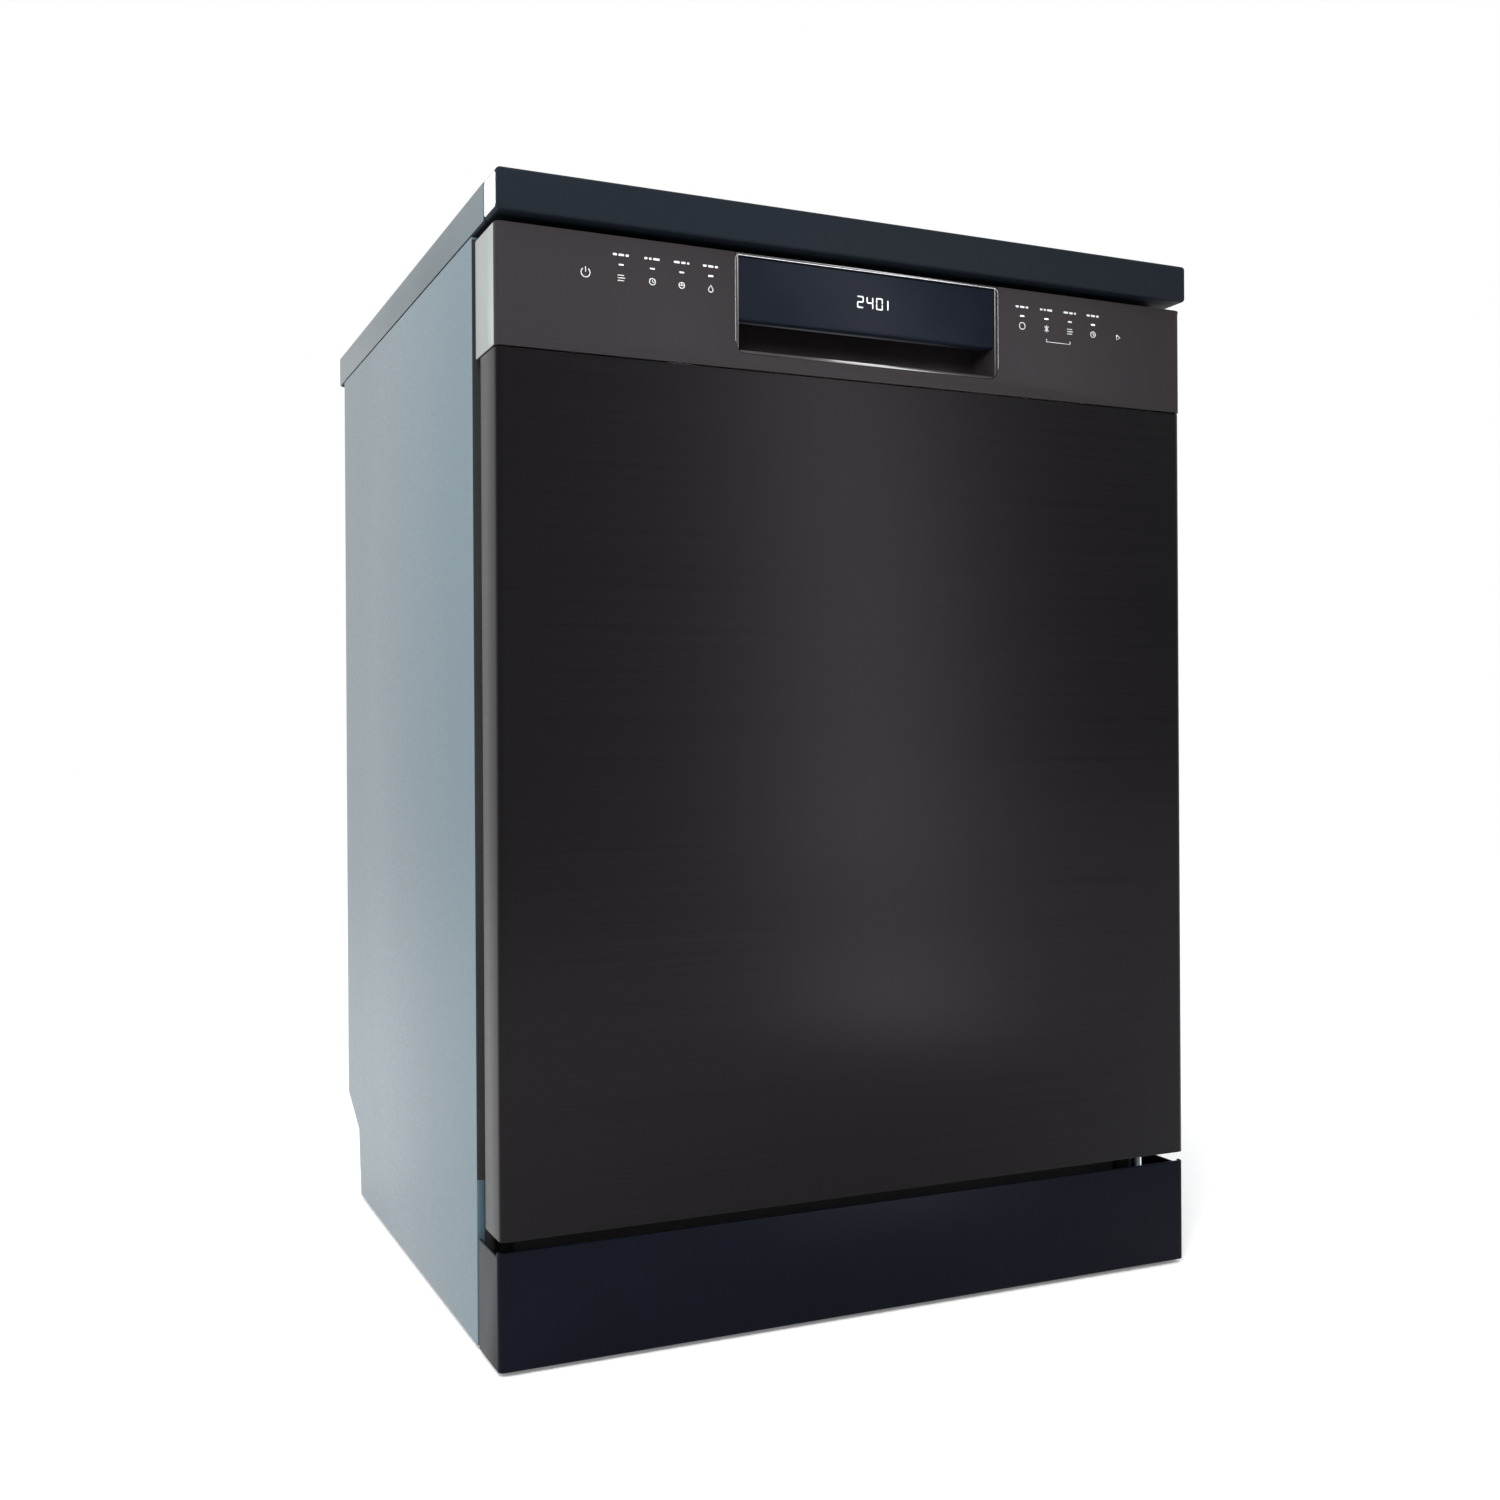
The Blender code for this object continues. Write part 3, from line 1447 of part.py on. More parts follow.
def basket(name, half, front, back, floor, top, counts, rims, paint):
    """A welded wire basket: U-shaped wires both ways, tied together by rims."""
    across, along = counts
    inset = 0.030
    cross = []
    for y in spread(front + inset, back - inset, across):
        u = [
            (-half, top - WIRE / 2),
            (-half, floor),
            (half, floor),
            (half, top - WIRE / 2),
            (half - WIRE, top - WIRE / 2),
            (half - WIRE, floor + WIRE),
            (WIRE - half, floor + WIRE),
            (WIRE - half, top - WIRE / 2),
        ]
        cross.append((u, "Y", y - WIRE / 2, y + WIRE / 2))
    lengthwise = []
    low = floor - WIRE / 2
    for x in spread(inset - half, half - inset, along):
        u = [
            (front, top - WIRE / 2),
            (front, low),
            (back, low),
            (back, top - WIRE / 2),
            (back - WIRE, top - WIRE / 2),
            (back - WIRE, low + WIRE),
            (front + WIRE, low + WIRE),
            (front + WIRE, top - WIRE / 2),
        ]
        lengthwise.append((u, "X", x - WIRE / 2, x + WIRE / 2))
    body = prisms(name, cross, paint)
    fuse(body, prisms(name + "_lengthwise", lengthwise, paint))
    for k, z in enumerate(rims):
        ring = frame_ring(half + WIRE / 2, front - WIRE / 2, back + WIRE / 2, z, f"{name}_rim_{k}", paint)
        fuse(body, ring)
    return body


def frame_ring(half, front, back, z, name, paint):
    """A rectangular hoop of wire."""
    centre = (0.0, (front + back) / 2)
    reach = (back - front) / 2
    outer = ring_points(half, reach, 0.012, centre, 2)
    inner = ring_points(half - WIRE, reach - WIRE, 0.009, centre, 2)
    loops = [
        level(outer, "Z", z),
        level(outer, "Z", z + WIRE),
        level(inner, "Z", z + WIRE),
        level(inner, "Z", z),
    ]
    return loft(name, loops, paint, ring=True)


def hang_all(body, holder):
    """Hangs a piece and every helper of its Booleans from one pivot."""
    for modifier in body.modifiers:
        if modifier.object.parent is None:
            hang(modifier.object, holder)
    return hang(body, holder)


def wheel_rows():
    """Places of the lower rack's axles along Y."""
    return {"front": RACK_FRONT + 0.115, "rear": RACK_BACK - 0.060}


def build_lower_rack(axis, paint):
    rims = [LOWER_FLOOR + 0.060, LOWER_TOP - WIRE]
    rack = basket(
        "lower_rack",
        RACK_HALF,
        RACK_FRONT,
        RACK_BACK,
        LOWER_FLOOR,
        LOWER_TOP,
        (6, 6),
        rims,
        paint["rack_coat"],
    )
    legs = []
    for y in wheel_rows().values():
        for side in (-1, 1):
            inner = side * (RACK_HALF - WIRE * 0.8)
            outer = side * (RACK_HALF + 0.0025)
            low, high = sorted((inner, outer))
            leg = rectangle(low, high, y - 0.008, y + 0.008)
            legs.append((leg, "Z", AXLE_Z - 0.007, LOWER_FLOOR + 0.063))
    fuse(rack, prisms("wheel_legs", legs, paint["rack_coat"]))
    axles = []
    for y in wheel_rows().values():
        for side in (-1, 1):
            low, high = sorted((side * RACK_HALF, side * (WHEEL_X + WHEEL_WIDTH + 0.0015)))
            axles.append((circle(AXLE_RADIUS, (y, AXLE_Z), 12), "X", low, high))
    fuse(rack, prisms("wheel_axles", axles, paint["rack_coat"]))
    hang_all(rack, axis)
    build_wheels(axis, paint)
    build_cutlery_basket(axis, paint)
    build_tine_rows(axis, paint)


def build_wheels(rack_axis, paint):
    """Four wheels on one mesh, made about the axle."""
    bore = AXLE_RADIUS + 0.0004
    profile = [
        (bore, 0),
        (WHEEL_RADIUS - 0.0015, 0),
        (WHEEL_RADIUS, 0.0015),
        (WHEEL_RADIUS, WHEEL_WIDTH - 0.0015),
        (WHEEL_RADIUS - 0.0015, WHEEL_WIDTH),
        (bore, WHEEL_WIDTH),
    ]
    pattern = None
    for row, y in wheel_rows().items():
        for side, hand in ((-1, "left"), (1, "right")):
            name = f"{row}_{hand}_wheel"
            x = WHEEL_X if side > 0 else -WHEEL_X - WHEEL_WIDTH
            axle = pivot(name + "_axle", (x, y, AXLE_Z), rack_axis)
            if pattern is None:
                pattern = turned(name, profile, "X", (0.0, 0.0), paint["wheel"], 20)
                pattern.parent = axle
            else:
                place_copy(name, pattern, axle, (x, y, AXLE_Z))


def build_cutlery_basket(axis, paint):
    """A long open basket in the left of the lower rack, with a tall middle wall to carry it by."""
    left = -RACK_HALF + WIRE + 0.004
    centre = (left + BASKET_WIDE / 2, 0.005)
    low = LOWER_FLOOR + WIRE + 0.0015
    top = low + BASKET_HIGH
    wall = 0.002
    outer_low = ring_points(BASKET_WIDE / 2 - 0.004, BASKET_LONG / 2 - 0.004, 0.008, centre, 3)
    outer_top = ring_points(BASKET_WIDE / 2, BASKET_LONG / 2, 0.010, centre, 3)
    inner_top = ring_points(BASKET_WIDE / 2 - wall, BASKET_LONG / 2 - wall, 0.008, centre, 3)
    inner_low = ring_points(BASKET_WIDE / 2 - 0.004 - wall, BASKET_LONG / 2 - 0.004 - wall, 0.006, centre, 3)
    bin_body = loft(
        "cutlery_basket",
        [
            level(outer_low, "Z", low),
            level(outer_top, "Z", top),
            level(inner_top, "Z", top),
            level(inner_low, "Z", low + wall),
        ],
        paint["basket"],
    )
    reach = BASKET_LONG / 2 - wall / 2 - 0.0045
    y0, y1 = centre[1] - reach, centre[1] + reach
    carry = [
        (y0, low + wall / 2),
        (y1, low + wall / 2),
        (y1, top - 0.006),
        (centre[1] + 0.060, top),
        (centre[1] + 0.045, top + 0.034),
        (centre[1] - 0.045, top + 0.034),
        (centre[1] - 0.060, top),
        (y0, top - 0.006),
    ]
    wall_outline = rounded(carry, [0, 0, 0, 0.008, 0.010, 0.010, 0.008, 0], 2)
    middle = prism("basket_wall", wall_outline, "X", centre[0] - 0.0015, centre[0] + 0.0015, paint["basket"])
    grip_outline = rounded(
        rectangle(centre[1] - 0.034, centre[1] + 0.034, top + 0.004, top + 0.022), 0.006, 2
    )
    grip = prism("basket_grip", grip_outline, "X", centre[0] - 0.01, centre[0] + 0.01, paint["basket"])
    fuse(bin_body, middle)
    cut(bin_body, grip)
    hang_all(bin_body, axis)


def build_tine_rows(rack_axis, paint):
    """Two rows of upright wires in the lower rack, each on a rod that lets it fold flat towards the back."""
    z = LOWER_FLOOR + WIRE + 0.0065
    low_x = -RACK_HALF + BASKET_WIDE + 0.028
    high_x = RACK_HALF - 0.014
    for name, y in TINE_ROWS.items():
        axis = pivot(name + "_axis", (0.0, y, z), rack_axis)
        rod = prism(name, circle(0.0025, (y, z), 8), "X", low_x, high_x, paint["rack_coat"])
        tines = [
            (rectangle(x - 0.0016, x + 0.0016, y - 0.0016, y + 0.0016), "Z", z, z + TINE_LENGTH)
            for x in spread(low_x + 0.010, high_x - 0.010, TINE_COUNT)
        ]
        hang_all(fuse(rod, prisms(name + "_tines", tines, paint["rack_coat"])), axis)


def build_upper_rack(axis, paint):
    """The upper basket with the shoes that run in its two rails."""
    mid_rim = RAIL_Z - WIRE / 2
    rims = [mid_rim, UPPER_TOP - WIRE]
    rack = basket(
        "upper_rack",
        UPPER_HALF,
        RACK_FRONT,
        RACK_BACK,
        UPPER_FLOOR,
        UPPER_TOP,
        (6, 6),
        rims,
        paint["rack_coat"],
    )
    shoes = []
    for y in (RACK_BACK - 0.050, 0.045):
        for side in (-1, 1):
            tip = RAIL_IN + RAIL_DEPTH - RAIL_SHEET - 0.001
            low, high = sorted((side * (UPPER_HALF - WIRE * 0.3), side * tip))
            outline = rounded(rectangle(y - 0.018, y + 0.018, RAIL_Z - 0.009, RAIL_Z + 0.009), 0.004, 2)
            shoes.append((outline, "X", low, high))
    fuse(rack, prisms("rail_shoes", shoes, paint["rack_coat"]))
    hang_all(rack, axis)
    for side, hand in ((-1, "left"), (1, "right")):
        build_cup_shelf(side, hand, axis, paint)


def build_rails(paint):
    """Two channels along the tub's walls. Each slides half as far as the upper rack does."""
    inner = RAIL_IN
    outer = inner + RAIL_DEPTH
    low = RAIL_Z - RAIL_HEIGHT / 2
    high = RAIL_Z + RAIL_HEIGHT / 2
    lip = 0.0025
    sheet = RAIL_SHEET
    outline = [
        (inner, low),
        (outer, low),
        (outer, high),
        (inner, high),
        (inner, high - lip),
        (inner + sheet, high - lip),
        (inner + sheet, high - sheet),
        (outer - sheet, high - sheet),
        (outer - sheet, low + sheet),
        (inner + sheet, low + sheet),
        (inner + sheet, low + lip),
        (inner, low + lip),
    ]
    for side, hand in ((-1, "left"), (1, "right")):
        axis = pivot(hand + "_rail_axis", (side * inner, RACK_FRONT, RAIL_Z))
        rail = prism(
            hand + "_rack_rail",
            [(side * a, b) for a, b in outline],
            "Y",
            RACK_FRONT + 0.004,
            RACK_BACK,
            paint["steel"],
        )
        hang(rail, axis)


def shelf_axis_x():
    return UPPER_HALF - WIRE - 0.005


def build_cup_shelf(side, hand, rack_axis, paint):
    """A wire shelf that folds up against the rack's side."""
    x = side * shelf_axis_x()
    front = RACK_FRONT + 0.045
    back = RACK_BACK - 0.045
    axis = pivot(hand + "_shelf_axis", (x, 0.0, SHELF_Z), rack_axis)
    rod = prism(hand + "_cup_shelf", circle(0.0025, (x, SHELF_Z), 8), "Y", front, back, paint["rack_coat"])
    inner = x - side * SHELF_DEEP
    low, high = sorted((x, inner))
    wires = [
        (rectangle(low, high, y - 0.0015, y + 0.0015), "Z", SHELF_Z - 0.0015, SHELF_Z + 0.0015)
        for y in spread(front + 0.012, back - 0.012, SHELF_WIRES)
    ]
    edge_low, edge_high = sorted((inner - side * 0.001, inner + side * 0.003))
    edge = [
        (rectangle(edge_low, edge_high, front + 0.004, back - 0.004), "Z", SHELF_Z - 0.0005, SHELF_Z + 0.0030)
    ]
    fuse(rod, prisms(hand + "_shelf_wires", wires, paint["rack_coat"]))
    fuse(rod, prisms(hand + "_shelf_edge", edge, paint["rack_coat"]))
    hang_all(rod, axis)


# --- The machine --------------------------------------------------------------------------------------
def build_dishwasher():
    paint = {
        "worktop": finish("worktop_black", (0.018, 0.021, 0.027), 0.30),
        "cabinet": finish("cabinet_paint", (0.13, 0.15, 0.16), 0.40, 0.2),
        "galvanised": finish("galvanised_steel", (0.50, 0.52, 0.54), 0.42, 0.9),
        "base": finish("base_plastic", (0.030, 0.030, 0.032), 0.60),
        "foot": finish("foot_plastic", (0.040, 0.040, 0.042), 0.55),
        "plinth": finish("plinth_black", (0.010, 0.011, 0.016), 0.28),
        "steel": finish("tub_steel", (0.62, 0.63, 0.64), 0.28, 1.0),
        "mesh_steel": finish("filter_steel", (0.55, 0.56, 0.57), 0.38, 1.0),
        "rubber": finish("seal_rubber", (0.020, 0.020, 0.021), 0.70),
        "moulding": finish("grey_moulding", (0.22, 0.23, 0.24), 0.50),
        "motor": finish("pump_casing", (0.055, 0.055, 0.060), 0.50),
        "dark_steel": finish("door_dark_steel", (0.030, 0.028, 0.030), 0.34, 0.85),
        "console": finish("console_dark", (0.055, 0.050, 0.052), 0.36, 0.5),
        "gloss_black": finish("gloss_black", (0.010, 0.012, 0.018), 0.10),
        "board": finish("circuit_board", (0.020, 0.110, 0.045), 0.50),
        "dispenser": finish("dispenser_plastic", (0.52, 0.54, 0.55), 0.45),
        "rinse_cap": finish("rinse_cap_blue", (0.10, 0.22, 0.42), 0.40),
        "rack_coat": finish("rack_coating", (0.34, 0.36, 0.38), 0.40),
        "basket": finish("basket_plastic", (0.30, 0.32, 0.34), 0.50),
        "wheel": finish("wheel_plastic", (0.30, 0.32, 0.34), 0.50),
    }
    build_worktop(paint)
    for side in (-1, 1):
        build_side_panel(side, paint)
    build_rear_panel(paint)
    build_base(paint)
    build_feet(paint)
    build_kick_plate(paint)
    build_tub(paint)
    build_gasket(paint)
    build_striker(paint)
    build_sump(paint)
    build_filters(paint)
    build_lower_spray(paint)
    build_feed_tube(paint)
    build_pumps(paint)
    build_softener(paint)
    build_rear_connections(paint)

    door_axis = pivot("door_axis", (0.0, HINGE_Y, HINGE_Z))
    build_door_shell(door_axis, paint)
    build_liner(door_axis, paint)
    build_console(door_axis, paint)
    build_handle(door_axis, paint)
    build_control_board(door_axis, paint)
    build_dispenser(door_axis, paint)
    build_lock(door_axis, paint)
    for side in (-1, 1):
        build_hinge(side, door_axis, paint)

    lower_axis = pivot("lower_rack_axis", (0.0, RACK_FRONT, AXLE_Z))
    build_lower_rack(lower_axis, paint)
    build_rails(paint)
    upper_axis = pivot("upper_rack_axis", (0.0, RACK_FRONT, RAIL_Z))
    build_upper_rack(upper_axis, paint)
    build_upper_spray(paint, upper_axis)


for leftover in list(bpy.data.objects):
    bpy.data.objects.remove(leftover, do_unlink=True)
build_dishwasher()
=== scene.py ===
"""The looks of a built-in dishwasher, laid out as an add-on and run as a script.

Everything is in metres. +Z is up, the door faces -Y, and +X is to the right of someone facing it.
"""

import json
import math

import bmesh
import bpy
from mathutils import Matrix, Vector
from mathutils.bvhtree import BVHTree


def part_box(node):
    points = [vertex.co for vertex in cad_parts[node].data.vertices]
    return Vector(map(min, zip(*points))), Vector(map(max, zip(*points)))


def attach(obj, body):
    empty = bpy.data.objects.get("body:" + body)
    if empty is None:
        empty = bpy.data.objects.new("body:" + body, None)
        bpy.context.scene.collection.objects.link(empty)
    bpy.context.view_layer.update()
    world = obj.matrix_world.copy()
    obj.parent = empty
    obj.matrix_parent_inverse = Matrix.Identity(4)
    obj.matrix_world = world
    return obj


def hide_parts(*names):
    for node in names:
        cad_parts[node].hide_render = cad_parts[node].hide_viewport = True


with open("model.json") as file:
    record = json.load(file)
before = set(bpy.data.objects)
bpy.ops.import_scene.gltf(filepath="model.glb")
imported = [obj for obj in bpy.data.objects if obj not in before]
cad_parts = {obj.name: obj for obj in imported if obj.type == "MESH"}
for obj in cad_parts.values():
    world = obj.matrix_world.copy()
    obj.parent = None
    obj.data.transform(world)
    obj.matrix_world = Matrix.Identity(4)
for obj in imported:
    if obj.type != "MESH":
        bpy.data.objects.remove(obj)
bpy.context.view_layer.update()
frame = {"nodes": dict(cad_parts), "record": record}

bl_info = {
    "name": "Dishwasher looks",
    "version": (1, 0, 0),
    "blender": (4, 5, 0),
    "location": "View3D > Sidebar > Dishwasher",
    "description": "Builds the visible pieces of a built-in dishwasher round its packed CAD frame",
    "category": "Object",
}

NODES = frame["nodes"]
BODY_OF = {n: b for b, members in frame["record"]["behaviour"]["bodies"].items() for n in members}
SLOT_OF = {part["node"]: part["material_slot"] for part in frame["record"]["subparts"]}


# --- Settings ---------------------------------------------------------------------------------------
class DishwasherSizes(bpy.types.PropertyGroup):
    """Sizes of the details that the frame doesn't fix."""

    wire_radius: bpy.props.FloatProperty(
        name="Main wire radius",
        description="Half the thickness of the racks' rims",
        default=0.0022,
        unit="LENGTH",
        precision=5,
    )
    thin_wire_radius: bpy.props.FloatProperty(
        name="Thin wire radius",
        description="Half the thickness of the racks' inner wires",
        default=0.0016,
        unit="LENGTH",
        precision=5,
    )
    edge_radius: bpy.props.FloatProperty(
        name="Edge radius",
        description="Rounding along the edges of the sheet metal",
        default=0.0008,
        unit="LENGTH",
        precision=5,
    )
    gasket_radius: bpy.props.FloatProperty(
        name="Gasket bulb radius",
        description="Half the thickness of the round bulb of the tub's seal",
        default=0.0050,
        unit="LENGTH",
        precision=5,
    )
    key_icon: bpy.props.FloatProperty(
        name="Key icon size",
        description="Half the width of the signs printed on the console",
        default=0.0032,
        unit="LENGTH",
        precision=5,
    )
    jet_count: bpy.props.IntProperty(
        name="Jets on each arm half",
        description="How many nozzles each half of a spray arm has",
        default=5,
        min=1,
    )


class DishwasherColours(bpy.types.PropertyGroup):
    """Base colours of the finishes."""

    door: bpy.props.FloatVectorProperty(
        name="Door steel",
        description="Base colour of the dark brushed door",
        subtype="COLOR",
        default=(0.0125, 0.0113, 0.0128),
        min=0,
        max=1,
    )
    console: bpy.props.FloatVectorProperty(
        name="Console",
        description="Base colour of the console's fascia",
        subtype="COLOR",
        default=(0.0215, 0.0184, 0.0204),
        min=0,
        max=1,
    )
    cabinet: bpy.props.FloatVectorProperty(
        name="Cabinet paint",
        description="Base colour of the side panels",
        subtype="COLOR",
        default=(0.071, 0.118, 0.146),
        min=0,
        max=1,
    )
    worktop: bpy.props.FloatVectorProperty(
        name="Worktop",
        description="Base colour of the worktop and its front trim",
        subtype="COLOR",
        default=(0.0062, 0.0090, 0.0130),
        min=0,
        max=1,
    )
    plinth: bpy.props.FloatVectorProperty(
        name="Plinth",
        description="Base colour of the kick plate",
        subtype="COLOR",
        default=(0.0030, 0.0038, 0.0075),
        min=0,
        max=1,
    )
    rack: bpy.props.FloatVectorProperty(
        name="Rack coating",
        description="Base colour of the coated wires",
        subtype="COLOR",
        default=(0.30, 0.32, 0.34),
        min=0,
        max=1,
    )
    rinse_cap: bpy.props.FloatVectorProperty(
        name="Rinse-aid cap",
        description="Base colour of the rinse-aid cap",
        subtype="COLOR",
        default=(0.04, 0.12, 0.34),
        min=0,
        max=1,
    )


class DishwasherStage(bpy.types.PropertyGroup):
    """The camera, the lights and the floor."""

    camera_place: bpy.props.FloatVectorProperty(
        name="Camera place",
        description="Where the camera stands",
        subtype="TRANSLATION",
        unit="LENGTH",
        default=(-0.600, -1.385, 0.439),
    )
    camera_yaw: bpy.props.FloatProperty(
        name="Camera yaw",
        description="How far the camera turns from facing +Y towards +X",
        subtype="ANGLE",
        default=math.radians(24.37),
    )
    camera_pitch: bpy.props.FloatProperty(
        name="Camera pitch",
        description="How far the camera looks up",
        subtype="ANGLE",
        default=math.radians(-0.03),
    )
    camera_roll: bpy.props.FloatProperty(
        name="Camera roll",
        description="How far the camera tips about its own axis",
        subtype="ANGLE",
        default=math.radians(-0.33),
    )
    focal_length: bpy.props.FloatProperty(
        name="Focal length",
        description="Focal length in millimetres on a 36 mm wide sensor",
        default=38.56,
    )
    world_level: bpy.props.FloatProperty(
        name="Surroundings",
        description="Brightness of the even white surroundings",
        default=1.0,
    )
    dim_level: bpy.props.FloatProperty(
        name="Dark screen",
        description="Brightness of the surroundings in front of the object towards its right",
        default=0.30,
    )
    top_light: bpy.props.FloatProperty(
        name="Top light", description="Power of the large light overhead", default=24.0, subtype="POWER"
    )
    side_light: bpy.props.FloatProperty(
        name="Side light", description="Power of the tall light at the left", default=22.0, subtype="POWER"
    )
    fill_light: bpy.props.FloatProperty(
        name="Fill light",
        description="Power of the small light in front at the left",
        default=19.0,
        subtype="POWER",
    )
    low_strip_light: bpy.props.FloatProperty(
        name="Low strip light",
        description="Power of the narrow light on the floor that carries the door's highlight down",
        default=10.0,
        subtype="POWER",
    )
    strip_light: bpy.props.FloatProperty(
        name="Strip light",
        description="Power of the tall narrow light in front of the door",
        default=46.0,
        subtype="POWER",
    )


def sizes():
    return bpy.context.scene.dishwasher_sizes


def colours():
    return bpy.context.scene.dishwasher_colours


# --- Finishes ---------------------------------------------------------------------------------------
def start_finish(name, colour, roughness, metallic=0.0, **sockets):
    """A new material whose constant values sit on the shader's own sockets."""
    made = bpy.data.materials.new(name)
    made.use_nodes = True
    shader = made.node_tree.nodes["Principled BSDF"]
    shader.inputs["Base Color"].default_value = (*colour, 1.0)
    shader.inputs["Roughness"].default_value = roughness
    shader.inputs["Metallic"].default_value = metallic
    for socket, value in sockets.items():
        shader.inputs[socket.replace("_", " ")].default_value = value
    made.diffuse_color = (*colour, 1.0)
    return made


def texture(made, kind, scale, stretch=(1.0, 1.0, 1.0), detail=2.0):
    """A texture in the object's own metres. Its last output is the varying value."""
    nodes, links = made.node_tree.nodes, made.node_tree.links
    place = nodes.new("ShaderNodeTexCoord")
    mapping = nodes.new("ShaderNodeMapping")
    mapping.inputs["Scale"].default_value = stretch
    links.new(place.outputs["Object"], mapping.inputs["Vector"])
    made_texture = nodes.new(kind)
    links.new(mapping.outputs["Vector"], made_texture.inputs["Vector"])
    made_texture.inputs["Scale"].default_value = scale
    if "Detail" in made_texture.inputs:
        made_texture.inputs["Detail"].default_value = detail
    return made_texture


def tint(made, source, low, high, start=0.3, end=0.7):
    """The base colour wanders between two colours."""
    nodes, links = made.node_tree.nodes, made.node_tree.links
    ramp = nodes.new("ShaderNodeValToRGB")
    ramp.color_ramp.elements[0].position = start
    ramp.color_ramp.elements[1].position = end
    ramp.color_ramp.elements[0].color = (*low, 1.0)
    ramp.color_ramp.elements[1].color = (*high, 1.0)
    links.new(source, ramp.inputs["Fac"])
    links.new(ramp.outputs["Color"], nodes["Principled BSDF"].inputs["Base Color"])


def vary_roughness(made, source, low, high):
    nodes, links = made.node_tree.nodes, made.node_tree.links
    spread_out = nodes.new("ShaderNodeMapRange")
    spread_out.inputs["From Min"].default_value = 0.25
    spread_out.inputs["From Max"].default_value = 0.75
    spread_out.inputs["To Min"].default_value = low
    spread_out.inputs["To Max"].default_value = high
    links.new(source, spread_out.inputs["Value"])
    links.new(spread_out.outputs["Result"], nodes["Principled BSDF"].inputs["Roughness"])


def relief(made, source, strength, distance=0.0002):
    nodes, links = made.node_tree.nodes, made.node_tree.links
    bump = nodes.new("ShaderNodeBump")
    bump.inputs["Strength"].default_value = strength
    bump.inputs["Distance"].default_value = distance
    links.new(source, bump.inputs["Height"])
    links.new(bump.outputs["Normal"], nodes["Principled BSDF"].inputs["Normal"])


def scaled(colour, factor):
    return tuple(min(1.0, c * factor) for c in colour)


def brushed(name, colour, rough, stretch, shade=0.12, bump=0.05, **sockets):
    """Metal brushed in one direction: long thin streaks in colour, gloss and relief."""
    made = start_finish(name, colour, sum(rough) / 2, 1.0, **sockets)
    streaks = texture(made, "ShaderNodeTexNoise", 1.0, stretch, 3.0)
    tint(made, streaks.outputs["Fac"], scaled(colour, 1 - shade), scaled(colour, 1 + shade))
    vary_roughness(made, streaks.outputs["Fac"], *rough)
    relief(made, streaks.outputs["Fac"], bump, 0.00005)
    return made


def moulded(name, colour, rough, grain=1400.0, bump=0.12, shade=0.10, **sockets):
    """Moulded plastic: fine grain, and a slow drift of colour."""
    made = start_finish(name, colour, sum(rough) / 2, 0.0, **sockets)
    drift = texture(made, "ShaderNodeTexNoise", 9.0, detail=4.0)
    tint(made, drift.outputs["Fac"], scaled(colour, 1 - shade), scaled(colour, 1 + shade))
    fine = texture(made, "ShaderNodeTexNoise", grain)
    vary_roughness(made, fine.outputs["Fac"], *rough)
    relief(made, fine.outputs["Fac"], bump, 0.00008)
    return made


def make_cabinet_paint():
    colour = tuple(colours().cabinet)
    made = start_finish("cabinet_paint_coat", colour, 0.38, 0.25, Coat_Weight=0.25, Coat_Roughness=0.30)
    drift = texture(made, "ShaderNodeTexNoise", 3.0, (1.0, 1.0, 0.5), 3.0)
    tint(made, drift.outputs["Fac"], scaled(colour, 0.93), scaled(colour, 1.07))
    peel = texture(made, "ShaderNodeTexNoise", 420.0, detail=1.0)
    vary_roughness(made, peel.outputs["Fac"], 0.34, 0.44)
    relief(made, peel.outputs["Fac"], 0.10, 0.0001)
    return made


def make_worktop():
    colour = tuple(colours().worktop)
    made = start_finish("worktop_laminate", colour, 0.45, 0.0, Specular_IOR_Level=0.06)
    fleck = texture(made, "ShaderNodeTexNoise", 900.0, detail=3.0)
    tint(made, fleck.outputs["Fac"], scaled(colour, 0.8), scaled(colour, 1.25))
    vary_roughness(made, fleck.outputs["Fac"], 0.42, 0.56)
    relief(made, fleck.outputs["Fac"], 0.15, 0.0001)
    return made


def make_galvanised():
    colour = (0.46, 0.48, 0.50)
    made = start_finish("galvanised_sheet", colour, 0.42, 0.9)
    spangle = texture(made, "ShaderNodeTexVoronoi", 95.0)
    spangle.inputs["Randomness"].default_value = 1.0
    tint(made, spangle.outputs["Color"], scaled(colour, 0.90), scaled(colour, 1.06), 0.1, 0.9)
    vary_roughness(made, spangle.outputs["Color"], 0.40, 0.50)
    fine = texture(made, "ShaderNodeTexNoise", 700.0)
    relief(made, fine.outputs["Fac"], 0.06, 0.0001)
    return made


def make_gloss_black(name, colour, rough, **sockets):
    """Polished black plastic with a very slight wave in its surface."""
    made = start_finish(name, colour, sum(rough) / 2, 0.0, **sockets)
    wave = texture(made, "ShaderNodeTexNoise", 14.0)
    tint(made, wave.outputs["Fac"], scaled(colour, 0.85), scaled(colour, 1.2))
    vary_roughness(made, wave.outputs["Fac"], *rough)
    relief(made, wave.outputs["Fac"], 0.02, 0.0001)
    return made


def make_console():
    colour = tuple(colours().console)
    made = start_finish("console_metallic", colour, 0.46, 0.12, Specular_IOR_Level=0.08)
    flake = texture(made, "ShaderNodeTexNoise", 2600.0)
    tint(made, flake.outputs["Fac"], scaled(colour, 0.85), scaled(colour, 1.15))
    vary_roughness(made, flake.outputs["Fac"], 0.42, 0.50)
    relief(made, flake.outputs["Fac"], 0.05, 0.00005)
    return made


